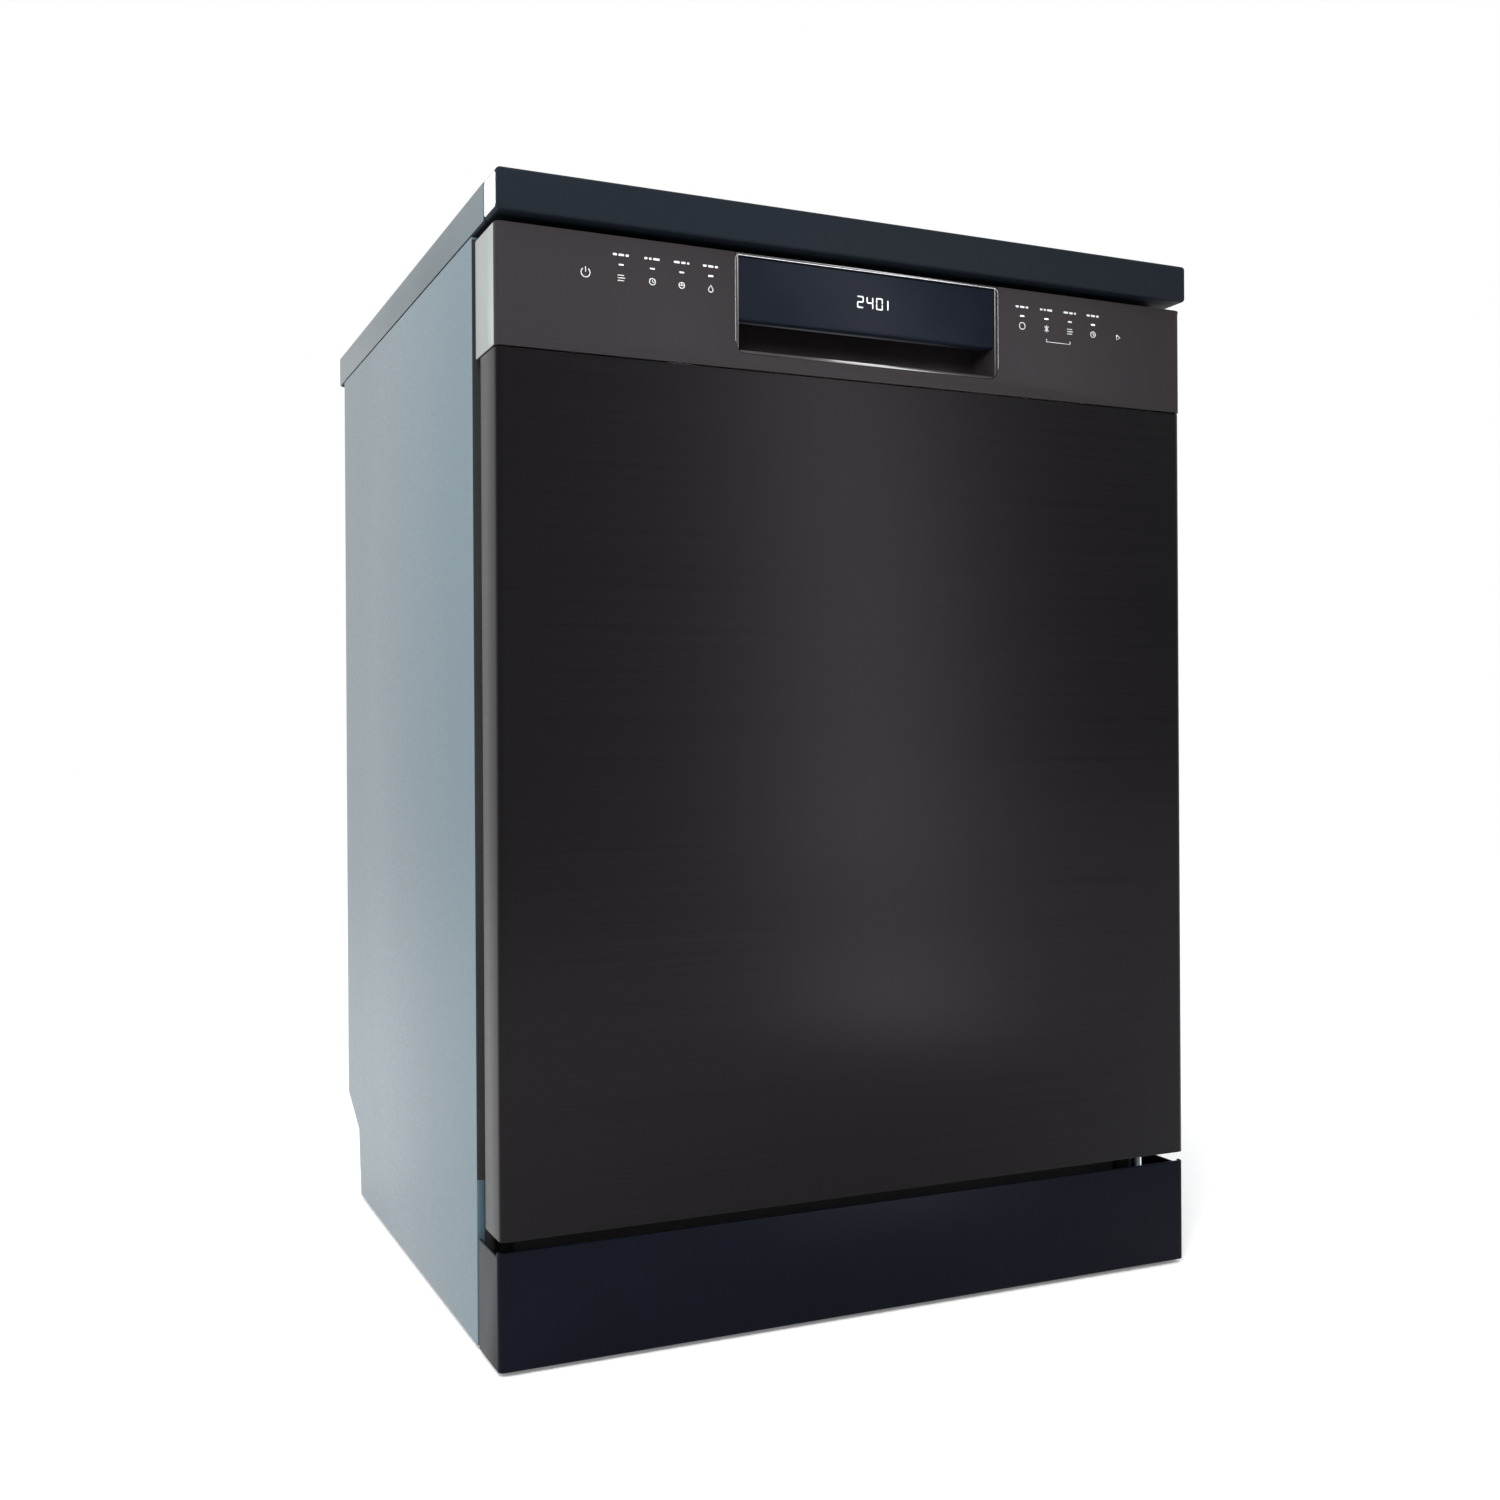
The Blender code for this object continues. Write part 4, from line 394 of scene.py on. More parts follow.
def make_circuit_board():
    colour = (0.015, 0.090, 0.035)
    made = start_finish("board_lacquer", colour, 0.35, 0.0, Coat_Weight=0.4)
    tracks = texture(made, "ShaderNodeTexBrick", 160.0)
    tracks.inputs["Color1"].default_value = (0.2, 0.2, 0.2, 1.0)
    tracks.inputs["Color2"].default_value = (0.5, 0.5, 0.5, 1.0)
    tracks.inputs["Mortar"].default_value = (0.9, 0.9, 0.9, 1.0)
    tint(made, tracks.outputs["Color"], scaled(colour, 0.8), scaled(colour, 1.9), 0.3, 0.9)
    return made


def make_filter_mesh():
    colour = (0.50, 0.51, 0.52)
    made = start_finish("filter_mesh", colour, 0.36, 1.0)
    # Dark dots for the perforations: painted shade in the holes, with a matching dent.
    hole_shade = texture(made, "ShaderNodeTexVoronoi", 520.0)
    hole_shade.inputs["Randomness"].default_value = 0.05
    tint(made, hole_shade.outputs["Distance"], (0.02, 0.02, 0.02), colour, 0.22, 0.34)
    relief(made, hole_shade.outputs["Distance"], 0.5, 0.0003)
    return made


def make_glow(name, colour, strength):
    """Lit signs: a plain lacquer that also glows, a little unevenly."""
    made = start_finish(name, colour, 0.4, 0.0, Emission_Strength=strength)
    made.node_tree.nodes["Principled BSDF"].inputs["Emission Color"].default_value = (*colour, 1.0)
    grain = texture(made, "ShaderNodeTexNoise", 900.0)
    tint(made, grain.outputs["Fac"], scaled(colour, 0.9), colour)
    return made


def make_rack_coating():
    colour = tuple(colours().rack)
    made = start_finish("rack_nylon", colour, 0.40, 0.0, Coat_Weight=0.2)
    wave = texture(made, "ShaderNodeTexNoise", 60.0)
    tint(made, wave.outputs["Fac"], scaled(colour, 0.9), scaled(colour, 1.08))
    vary_roughness(made, wave.outputs["Fac"], 0.32, 0.48)
    relief(made, wave.outputs["Fac"], 0.08, 0.0002)
    return made


FINISH_MAKERS = {
    "worktop_black": make_worktop,
    "cabinet_paint": make_cabinet_paint,
    "galvanised_steel": make_galvanised,
    "base_plastic": lambda: moulded("base_black_plastic", (0.020, 0.020, 0.022), (0.50, 0.66)),
    "foot_plastic": lambda: moulded("foot_black_plastic", (0.030, 0.030, 0.032), (0.45, 0.60)),
    "plinth_black": lambda: moulded(
        "plinth_lacquer", tuple(colours().plinth), (0.30, 0.38), 900.0, 0.05, Specular_IOR_Level=0.04
    ),
    "tub_steel": lambda: brushed(
        "tub_stainless", (0.56, 0.57, 0.58), (0.27, 0.31), (8.0, 8.0, 1500.0), 0.03, 0.004
    ),
    "filter_steel": make_filter_mesh,
    # Black rubber for the seals; also used as painted shade on the side panels' front flanges.
    "seal_rubber": lambda: moulded("black_rubber_and_gap_shade", (0.014, 0.014, 0.015), (0.60, 0.78), 600.0, 0.2),
    "grey_moulding": lambda: moulded("grey_polypropylene", (0.19, 0.20, 0.21), (0.42, 0.56)),
    "pump_casing": lambda: moulded("pump_black_plastic", (0.035, 0.036, 0.040), (0.42, 0.56)),
    "door_dark_steel": lambda: brushed(
        "door_brushed_steel",
        tuple(colours().door),
        (0.28, 0.34),
        (3.0, 3.0, 1500.0),
        0.10,
        0.03,
        Anisotropic=0.6,
    ),
    "console_dark": make_console,
    "gloss_black": lambda: make_gloss_black(
        "pocket_gloss_black", (0.020, 0.017, 0.019), (0.10, 0.16), Specular_IOR_Level=0.55, Coat_Weight=0.3
    ),
    "display_window": lambda: make_gloss_black(
        "display_window", (0.0058, 0.0078, 0.0132), (0.26, 0.32), Specular_IOR_Level=0.04
    ),
    "circuit_board": make_circuit_board,
    "dispenser_plastic": lambda: moulded("dispenser_pale_plastic", (0.46, 0.48, 0.49), (0.38, 0.50)),
    "rinse_cap_blue": lambda: moulded("rinse_cap_plastic", tuple(colours().rinse_cap), (0.32, 0.44)),
    "rack_coating": make_rack_coating,
    "basket_plastic": lambda: moulded("basket_grey_plastic", (0.26, 0.28, 0.30), (0.42, 0.56)),
    "wheel_plastic": lambda: moulded("wheel_grey_plastic", (0.24, 0.26, 0.28), (0.38, 0.50)),
    "lit_sign": lambda: make_glow("lit_white", (0.74, 0.78, 0.82), 0.55),
    "printed_sign": lambda: make_glow("printed_grey", (0.52, 0.53, 0.55), 0.0),
    # Pale satin for the trim's end caps: a painted highlight.
    "trim_cap": lambda: moulded(
        "trim_cap_painted_highlight", (0.50, 0.55, 0.55), (0.30, 0.40), 900.0, 0.04, Coat_Weight=0.3
    ),
    "end_plate": lambda: brushed(
        "end_plate_satin", (0.36, 0.39, 0.38), (0.34, 0.42), (900.0, 900.0, 4.0), 0.05, 0.03
    ),
    "bright_trim": lambda: brushed(
        "bright_trim_steel", (0.30, 0.30, 0.32), (0.22, 0.28), (3.0, 3.0, 1600.0), 0.05, 0.01
    ),
    "screw_steel": lambda: brushed("screw_zinc", (0.50, 0.50, 0.48), (0.28, 0.42), (400.0, 400.0, 40.0)),
    "copper_winding": lambda: brushed(
        "copper_winding", (0.48, 0.20, 0.09), (0.30, 0.42), (20.0, 900.0, 20.0)
    ),
    "edge_band": lambda: moulded(
        "worktop_edge_band", (0.052, 0.076, 0.088), (0.34, 0.44), 700.0, 0.08, Coat_Weight=0.2
    ),
    # Zinc darkened as painted shade: the hinge parts sit in the dark gap between the door and the kick plate.
    "hinge_shade_zinc": lambda: brushed(
        "hinge_zinc_painted_shade", (0.030, 0.030, 0.032), (0.38, 0.50), (300.0, 300.0, 30.0)
    ),
    # Black plastic for the control board's parts; also used as painted shade in the console seam and in the
    # spray arms' nozzle openings.
    "shadow_plastic": lambda: moulded("black_plastic_and_painted_shade", (0.010, 0.010, 0.011), (0.55, 0.70)),
}
FINISHES = {}


def finish_of(slot):
    if slot not in FINISHES:
        FINISHES[slot] = FINISH_MAKERS[slot]()
    return FINISHES[slot]


# --- Shape makers -----------------------------------------------------------------------------------
def put(name, mesh_or_curve, finish, body, stands_for=()):
    """Places a finished mesh or curve in the scene, and says what it rides on and stands for."""
    made = bpy.data.objects.new(name, mesh_or_curve)
    bpy.context.scene.collection.objects.link(made)
    made.data.materials.clear()
    made.data.materials.append(finish_of(finish))
    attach(made, body)
    if stands_for:
        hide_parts(*stands_for)
    return made


def add_mesh(name, bm, finish, body, stands_for=(), angle=35.0):
    """Turns a bmesh into a piece with smooth rounds, crisp edges and no empty faces."""
    bmesh.ops.dissolve_degenerate(bm, dist=2e-7, edges=bm.edges)
    bmesh.ops.recalc_face_normals(bm, faces=bm.faces)
    mesh = bpy.data.meshes.new(name)
    bm.to_mesh(mesh)
    bm.free()
    mesh.shade_smooth()
    mesh.set_sharp_from_angle(angle=math.radians(angle))
    return put(name, mesh, finish, body, stands_for)


def add_wires(name, strokes, finish, body, stands_for=(), steps=3):
    """Round wires: each stroke is (points, radius, closed)."""
    data = bpy.data.curves.new(name, "CURVE")
    data.dimensions = "3D"
    data.bevel_depth = 1.0
    data.bevel_resolution = steps
    data.use_fill_caps = True
    for points, radius, closed in strokes:
        line = data.splines.new("POLY")
        line.points.add(len(points) - 1)
        for point, place in zip(line.points, points):
            point.co = (*place, 1.0)
            point.radius = radius
        line.use_cyclic_u = closed
        line.use_smooth = True
    return put(name, data, finish, body, stands_for)


def merge(bm, other):
    """Adds one bmesh's faces to another."""
    held = bpy.data.meshes.new("held")
    other.to_mesh(held)
    other.free()
    bm.from_mesh(held)
    bpy.data.meshes.remove(held)
    return bm


def bevel_sharp(bm, width, steps=2, angle=30.0):
    """Rounds every edge that turns by more than the angle."""
    if width <= 0:
        return bm
    sharp = [e for e in bm.edges if len(e.link_faces) == 2 and e.calc_face_angle(0) > math.radians(angle)]
    bmesh.ops.bevel(
        bm,
        geom=sharp,
        offset=width,
        offset_type="OFFSET",
        segments=steps,
        profile=0.5,
        affect="EDGES",
        clamp_overlap=True,
    )
    return bm


def block(low, high, radius=0.0008, steps=2):
    """A box with rounded edges."""
    bm = bmesh.new()
    low, high = Vector(low), Vector(high)
    middle, reach = (low + high) / 2, high - low
    bmesh.ops.create_cube(bm, size=1.0, matrix=Matrix.Translation(middle) @ Matrix.Diagonal((*reach, 1.0)))
    return bevel_sharp(bm, min(radius, 0.45 * min(reach)), steps)


def lay_out(axis, a, b, along):
    if axis == "X":
        return Vector((along, a, b))
    if axis == "Y":
        return Vector((a, along, b))
    return Vector((a, b, along))


def prism(outline, axis, start, end, radius=0.0, steps=2):
    """An outline in the plane across an axis, pushed along it, with rounded edges."""
    bm = bmesh.new()
    near = [bm.verts.new(lay_out(axis, a, b, start)) for a, b in outline]
    far = [bm.verts.new(lay_out(axis, a, b, end)) for a, b in outline]
    bm.faces.new(near)
    bm.faces.new(list(reversed(far)))
    for k in range(len(outline)):
        after = (k + 1) % len(outline)
        bm.faces.new((near[after], near[k], far[k], far[after]))
    bmesh.ops.recalc_face_normals(bm, faces=bm.faces)
    return bevel_sharp(bm, radius, steps)


def turned(profile, axis, centre, count=40):
    """A closed profile of (radius, along) points spun about an axis."""
    bm = bmesh.new()
    rings = []
    for radius, along in profile:
        if radius <= 1e-6:
            rings.append([bm.verts.new(lay_out(axis, centre[0], centre[1], along))])
            continue
        rings.append(
            [
                bm.verts.new(
                    lay_out(
                        axis,
                        centre[0] + radius * math.cos(2 * math.pi * k / count),
                        centre[1] + radius * math.sin(2 * math.pi * k / count),
                        along,
                    )
                )
                for k in range(count)
            ]
        )
    pairs = list(zip(rings, rings[1:] + rings[:1]))
    for one, other in pairs:
        if len(one) == 1 and len(other) == 1:
            continue
        for k in range(count):
            after = (k + 1) % count
            corners = [
                one[k % len(one)], one[after % len(one)], other[after % len(other)], other[k % len(other)]
            ]
            seen = []
            for corner in corners:
                if corner not in seen:
                    seen.append(corner)
            if len(seen) > 2:
                bm.faces.new(seen)
    return bm


def arc(centre, radius, first, last, steps):
    """Points on a flat arc, in degrees."""
    out = []
    for k in range(steps + 1):
        angle = math.radians(first + (last - first) * k / steps)
        out.append((centre[0] + radius * math.cos(angle), centre[1] + radius * math.sin(angle)))
    return out


def rounded_outline(low_a, high_a, low_b, high_b, radius, steps=5):
    """A rectangle with round corners, anticlockwise."""
    if isinstance(radius, (int, float)):
        radius = [radius] * 4
    corners = [(low_a, low_b, 180), (high_a, low_b, 270), (high_a, high_b, 0), (low_a, high_b, 90)]
    out = []
    for (a, b, first), r in zip(corners, radius):
        if r <= 0:
            out.append((a, b))
            continue
        middle = (a + r if a == low_a else a - r, b + r if b == low_b else b - r)
        out.extend(arc(middle, r, first, first + 90, steps))
    return out


def bent(points, radius, steps=5, closed=False):
    """A polyline with each corner turned into a round bend."""
    out = []
    count = len(points)
    for k, point in enumerate(points):
        here = Vector(point)
        if not closed and k in (0, count - 1):
            out.append(here)
            continue
        before, after = Vector(points[k - 1]) - here, Vector(points[(k + 1) % count]) - here
        reach = min(radius, before.length * 0.49, after.length * 0.49)
        start, end = here + before.normalized() * reach, here + after.normalized() * reach
        for n in range(steps + 1):
            t = n / steps
            out.append(start * (1 - t) ** 2 + here * 2 * t * (1 - t) + end * t * t)
    return out


def spread(low, high, count):
    return [low + (high - low) * k / (count - 1) for k in range(count)]


def refine(node, radius, steps=2, finish=None, name=None, angle=30.0):
    """A piece with the node's own shape, its flat faces joined up and its edges rounded."""
    bm = bmesh.new()
    bm.from_mesh(NODES[node].data)
    bmesh.ops.remove_doubles(bm, verts=bm.verts, dist=1e-6)
    bmesh.ops.dissolve_limit(
        bm, angle_limit=math.radians(0.5), verts=bm.verts, edges=bm.edges, delimit={"NORMAL"}
    )
    bevel_sharp(bm, radius, steps, angle)
    slot = SLOT_OF[node]
    return add_mesh(name or node + "_shell", bm, finish or slot, BODY_OF[node], (node,))


def repaint(*names):
    """Carried-over nodes keep their shape and get their finish."""
    for name in names:
        NODES[name].data.materials.clear()
        NODES[name].data.materials.append(finish_of(SLOT_OF[name]))


def screw(centre, axis, towards, radius=0.0036, height=0.0016):
    """A pan head with a cross recess, standing on a face and pointing along an axis."""
    a, b, along = centre
    top = along + towards * height
    profile = [
        (radius, along),
        (radius, along + towards * height * 0.45),
        (radius * 0.86, along + towards * height * 0.80),
        (radius * 0.62, top),
        (radius * 0.20, top),
        (0.0, top - towards * height * 0.5),
        (0.0, along),
    ]
    return turned(profile, axis, (a, b), 16)


def surface(node, start, direction):
    """Where a line from a point first meets a node's shape."""
    mesh = NODES[node].data
    tree = BVHTree.FromPolygons([v.co for v in mesh.vertices], [tuple(p.vertices) for p in mesh.polygons])
    hit = tree.ray_cast(Vector(start), Vector(direction))[0]
    if hit is None:
        raise RuntimeError(f"the line from {tuple(start)} misses {node}")
    return hit


# --- Cabinet ----------------------------------------------------------------------------------------
class DISHWASHER_OT_worktop(bpy.types.Operator):
    """Build the worktop, its front trim with pale end caps that paint the highlight at the trim's ends, and
    the foam strip under it.
    """

    bl_idname = "dishwasher.worktop"
    bl_label = "Worktop"

    def execute(self, context):
        low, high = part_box("worktop")
        inset = 0.0004
        slab = block((low.x + inset, low.y, low.z), (high.x - inset, high.y, high.z), 0.0022, 4)
        add_mesh("worktop_slab", slab, "worktop_black", "cabinet", ("worktop",))
        low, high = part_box("worktop_front_trim")
        trim = block((low.x + inset, low.y, low.z), (high.x - inset, high.y, high.z), 0.0030, 5)
        add_mesh("worktop_trim", trim, "worktop_black", "cabinet", ("worktop_front_trim",))
        # Pale end caps on the trim: their pale colour is a painted highlight for the bright reflection at the
        # trim's ends.
        caps = bmesh.new()
        for side in (-1, 1):
            near, far = sorted((side * (high.x - 0.0010), side * high.x))
            outline = rounded_outline(
                low.y + 0.0035, high.y - 0.0015, low.z + 0.0025, high.z - 0.0025, 0.0030
            )
            merge(caps, prism(outline, "X", near, far, 0.0004, 2))
        add_mesh("worktop_trim_highlight_caps", caps, "trim_cap", "cabinet")
        bands = bmesh.new()
        low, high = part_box("worktop")
        for side in (-1, 1):
            near, far = sorted((side * (high.x - 0.0010), side * high.x))
            outline = rounded_outline(
                low.y + 0.0010, high.y - 0.0010, low.z + 0.0012, high.z - 0.0014, 0.0008
            )
            merge(bands, prism(outline, "X", near, far, 0.0002, 2))
        add_mesh("worktop_edge_bands", bands, "edge_band", "cabinet")
        strip = block((-0.290, -0.262, 0.8112), (0.290, -0.236, 0.8149), 0.0010, 2)
        add_mesh("worktop_foam_strip", strip, "seal_rubber", "cabinet")
        return {"FINISHED"}


class DISHWASHER_OT_side_panels(bpy.types.Operator):
    """Build the two folded side panels with the screws along their rear edge, and dark strips over their
    front flanges as painted shade for the gap at the door.
    """

    bl_idname = "dishwasher.side_panels"
    bl_label = "Side panels"

    def execute(self, context):
        refine("left_side_panel", 0.00045, 3)
        refine("right_side_panel", 0.00045, 3)
        screws = bmesh.new()
        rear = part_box("left_side_panel")[1].y
        for side in (-1, 1):
            for z in (0.180, 0.330, 0.480, 0.630, 0.780):
                merge(screws, screw((side * 0.2962, z, rear - 0.0002), "Y", 1, 0.0024, 0.0012))
        add_mesh("side_panel_screws", screws, "screw_steel", "cabinet")
        # Dark strips over the panels' front flanges: painted shade for the dark gap between each side panel
        # and the door.
        gap_shade = bmesh.new()
        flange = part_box("left_side_panel")[0].y
        for side in (-1, 1):
            outline = [
                (side * 0.2900, flange - 0.0007),
                (side * 0.2989, flange - 0.0007),
                (side * 0.2989, flange),
                (side * 0.2929, flange),
                (side * 0.2929, flange + 0.0035),
                (side * 0.2900, flange + 0.0035),
            ]
            merge(gap_shade, prism(outline, "Z", 0.1250, 0.8125, 0.0002, 1))
        add_mesh("side_panel_gap_shade_strips", gap_shade, "seal_rubber", "cabinet")
        return {"FINISHED"}


class DISHWASHER_OT_rear_panel(bpy.types.Operator):
    """Build the galvanised rear panel with its pressed ribs, screws and blank plate."""

    bl_idname = "dishwasher.rear_panel"
    bl_label = "Rear panel"

    def execute(self, context):
        refine("rear_panel", 0.0006, 2)
        low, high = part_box("rear_panel")
        face = high.y
        ribs = bmesh.new()
        for z in (0.225, 0.345, 0.465, 0.585):
            outline = rounded_outline(-0.235, 0.235, z - 0.008, z + 0.008, 0.0079)
            merge(ribs, prism(outline, "Y", face - 0.0004, face + 0.0022, 0.0020, 4))
        for x in (-0.262, 0.262):
            outline = rounded_outline(x - 0.006, x + 0.006, 0.170, 0.750, 0.0059)
            merge(ribs, prism(outline, "Y", face - 0.0004, face + 0.0018, 0.0016, 4))
        add_mesh("rear_panel_ribs", ribs, "galvanised_steel", "cabinet", angle=60)
        screws = bmesh.new()
        for x in (-0.283, 0.283):
            for z in spread(low.z + 0.030, high.z - 0.030, 6):
                merge(screws, screw((x, z, face - 0.0002), "Y", 1))
        for x in spread(-0.200, 0.200, 5):
            merge(screws, screw((x, high.z - 0.012, face - 0.0002), "Y", 1))
        add_mesh("rear_panel_screws", screws, "screw_steel", "cabinet")
        plate = prism(
            rounded_outline(0.120, 0.215, 0.655, 0.715, 0.004), "Y", face - 0.0002, face + 0.0004, 0.0001, 1
        )
        add_mesh("rear_blank_plate", plate, "bright_trim", "cabinet")
        return {"FINISHED"}


class DISHWASHER_OT_base(bpy.types.Operator):
    """Build the moulded base tray and the kick plate."""

    bl_idname = "dishwasher.base"
    bl_label = "Base and kick plate"

    def execute(self, context):
        refine("base_frame", 0.0006, 2)
        refine("kick_plate", 0.0010, 3)
        return {"FINISHED"}


class DISHWASHER_OT_feet(bpy.types.Operator):
    """Build the four levelling feet: a ribbed pad, a soft sole and a threaded stem."""

    bl_idname = "dishwasher.feet"
    bl_label = "Levelling feet"

    def execute(self, context):
        for name in ("front_left_foot", "front_right_foot", "rear_left_foot", "rear_right_foot"):
            low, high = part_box(name)
            x, y = (low.x + high.x) / 2, (low.y + high.y) / 2
            reach = (high.x - low.x) / 2
            outline = []
            for k in range(120):
                angle = 2 * math.pi * k / 120
                radius = reach - 0.0007 + 0.0007 * math.cos(15 * angle)
                outline.append((x + radius * math.cos(angle), y + radius * math.sin(angle)))
            foot = prism(outline, "Z", 0.0014, 0.0105, 0.0)
            stem = [(0.0, 0.0100), (0.0105, 0.0100), (0.0105, 0.0118), (0.0046, 0.0125)]
            z = 0.0140
            while z < high.z - 0.0045:
                stem.extend([(0.0042, z), (0.0050, z + 0.0008), (0.0050, z + 0.0012), (0.0042, z + 0.0020)])
                z += 0.0024
            stem.extend([(0.0042, high.z - 0.0015), (0.0034, high.z), (0.0, high.z)])
            merge(foot, turned(stem, "Z", (x, y), 24))
            add_mesh(name + "_pad", foot, "foot_plastic", name, (name,))
            sole = turned(
                [
                    (0.0, 0.0),
                    (reach - 0.0030, 0.0),
                    (reach - 0.0018, 0.0006),
                    (reach - 0.0018, 0.0016),
                    (0.0, 0.0016),
                ],
                "Z",
                (x, y),
                48,
            )
            add_mesh(name + "_sole", sole, "seal_rubber", name)
        return {"FINISHED"}


# --- Door -------------------------------------------------------------------------------------------
class DISHWASHER_OT_door_skin(bpy.types.Operator):
    """Build the folded dark steel skin of the door."""

    bl_idname = "dishwasher.door_skin"
    bl_label = "Door skin"

    def execute(self, context):
        refine("door_outer_panel", sizes().edge_radius, 3)
        return {"FINISHED"}


def power_sign(x, z, r):
    ring = [
        (x + r * math.sin(a), z + r * math.cos(a))
        for a in [math.radians(35 + 290 * k / 24) for k in range(25)]
    ]
    return [ring, [(x, z + 0.1 * r), (x, z + 1.25 * r)]]


def circle_sign(x, z, r):
    return [
        [(x + r * math.sin(math.radians(15 * k)), z + r * math.cos(math.radians(15 * k))) for k in range(25)]
    ]


def half_load_sign(x, z, r):
    return circle_sign(x, z, r * 0.8) + [[(x - 0.8 * r, z), (x + 0.8 * r, z)], [(x, z), (x, z + 0.8 * r)]]


def drop_sign(x, z, r):
    lower = [(x + 0.65 * r * math.cos(a), z - 0.25 * r + 0.65 * r * math.sin(a))
             for a in [math.radians(35 - 250 * k / 18) for k in range(19)]]
    return [lower + [(x, z + r), lower[0]]]


def arrow_sign(x, z, r):
    return [
        [(x - 0.6 * r, z + 0.8 * r), (x + 0.8 * r, z), (x - 0.6 * r, z - 0.8 * r), (x - 0.6 * r, z + 0.8 * r)]
    ]


def lines_sign(x, z, r):
    return [[(x - r, z + s * r), (x + r * (1 - 0.4 * abs(s)), z + s * r)] for s in (-0.7, 0.0, 0.7)]


def cross_sign(x, z, r):
    return [
        [(x - 0.7 * r, z - 0.7 * r), (x + 0.7 * r, z + 0.7 * r)],
        [(x - 0.7 * r, z + 0.7 * r), (x + 0.7 * r, z - 0.7 * r)],
        [(x, z - r), (x, z + r)],
    ]


def clock_sign(x, z, r):
    return circle_sign(x, z, r * 0.85) + [[(x, z + 0.5 * r), (x, z), (x + 0.4 * r, z - 0.2 * r)]]


def bracket_sign(x, z, half, drop):
    return [[(x - half, z + drop), (x - half, z), (x + half, z), (x + half, z + drop)]]


LEFT_KEYS = ((-0.205, lines_sign), (-0.181, clock_sign), (-0.158, half_load_sign), (-0.135, drop_sign))
RIGHT_KEYS = ((0.1385, circle_sign), (0.162, cross_sign), (0.185, lines_sign), (0.208, clock_sign))
LEFT_LIT = (3,)
RIGHT_LIT = (0, 1, 3)
# Widths of the dashes that stand for a small legend over a key, in three patterns.
LEGEND_DASHES = ((0.0030, 0.0042, 0.0024), (0.0024, 0.0020, 0.0050), (0.0046, 0.0034, 0.0018))


class DISHWASHER_OT_console(bpy.types.Operator):
    """Build the console's fascia with its touch signs, lamps and legend dashes."""

    bl_idname = "dishwasher.console"
    bl_label = "Console"

    def execute(self, context):
        refine("console", 0.0008, 3)
        low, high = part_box("console")
        face = low.y
        ends = bmesh.new()
        for side in (-1, 1):
            near, far = sorted((side * (high.x - 0.0002), side * (high.x + 0.0003)))
            outline = rounded_outline(
                low.y + 0.0050, high.y - 0.0004, low.z + 0.0004, high.z - 0.0004, 0.0012
            )
            merge(ends, prism(outline, "X", near, far, 0.0002, 2))
        add_mesh("console_end_plates", ends, "end_plate", "door")
        # A dark strip behind the seam between the door skin and the console: painted shade in that seam.
        seam = block((-0.2960, -0.2885, 0.7213), (0.2960, -0.2870, 0.7227), 0.0002, 1)
        add_mesh("console_seam_shade_strip", seam, "shadow_plastic", "door")
        r = sizes().key_icon
        strokes = []
        line = 0.00038

        def draw(paths):
            for path in paths:
                strokes.append(([(x, face, z) for x, z in path], line, False))

        draw(power_sign(-0.232, 0.780, r * 1.05))
        for x, sign in LEFT_KEYS:
            draw(sign(x, 0.7790, r * 0.85))
        for x, sign in RIGHT_KEYS:
            draw(sign(x, 0.7800, r * 0.85))
        draw(arrow_sign(0.2334, 0.780, r * 0.8))
        draw(bracket_sign(0.1735, 0.7695, 0.0115, 0.0022))
        add_wires("console_signs", strokes, "printed_sign", "door", steps=2)

        lit, unlit, legends = bmesh.new(), bmesh.new(), bmesh.new()
        for keys, bright, lamp_z, legend_z in (
            (LEFT_KEYS, LEFT_LIT, 0.7885, 0.7956),
            (RIGHT_KEYS, RIGHT_LIT, 0.7880, 0.7953),
        ):
            for k, (x, _) in enumerate(keys):
                lamp = prism(
                    rounded_outline(x - 0.0020, x + 0.0020, lamp_z - 0.0006, lamp_z + 0.0006, 0.0005, 2),
                    "Y",
                    face - 0.00012,
                    face + 0.0004,
                )
                merge(lit if k in bright else unlit, lamp)
                at = x - 0.0062
                for width in LEGEND_DASHES[k % 3]:
                    merge(
                        legends,
                        prism(
                            rounded_outline(
                                at, at + width, legend_z - 0.00080, legend_z + 0.00080, 0.0003, 1
                            ),
                            "Y",
                            face - 0.00008,
                            face + 0.0004,
                        ),
                    )
                    at += width + 0.0012
        add_mesh("console_lit_lamps", lit, "lit_sign", "door")
        add_mesh("console_unlit_lamps", unlit, "printed_sign", "door")
        add_mesh("console_legend_dashes", legends, "printed_sign", "door")
        return {"FINISHED"}


SEGMENTS = {
    "0": "abcdef",
    "1": "bc",
    "2": "abged",
    "3": "abgcd",
    "4": "fgbc",
    "5": "afgcd",
    "6": "afgedc",
    "8": "abcdefg",
}


def digit_bars(figure, x, z, width, height):
    """The lit bars of one seven-part figure, as outlines."""
    t = 0.0009
    gap = 0.0003
    half, middle = width / 2, height / 2
    flat = {"a": height - t, "g": middle - t / 2, "d": 0.0}
    upright = {"f": (-half, middle), "b": (half - t, middle), "e": (-half, 0.0), "c": (half - t, 0.0)}
    bars = []
    for part in SEGMENTS[figure]:
        if part in flat:
            low = z + flat[part]
            bars.append(rounded_outline(x - half + t * 0.6, x + half - t * 0.6, low, low + t, 0.0003, 1))
        else:
            dx, dz = upright[part]
            bars.append(rounded_outline(x + dx, x + dx + t, z + dz + gap, z + dz + middle - gap, 0.0003, 1))
    return bars


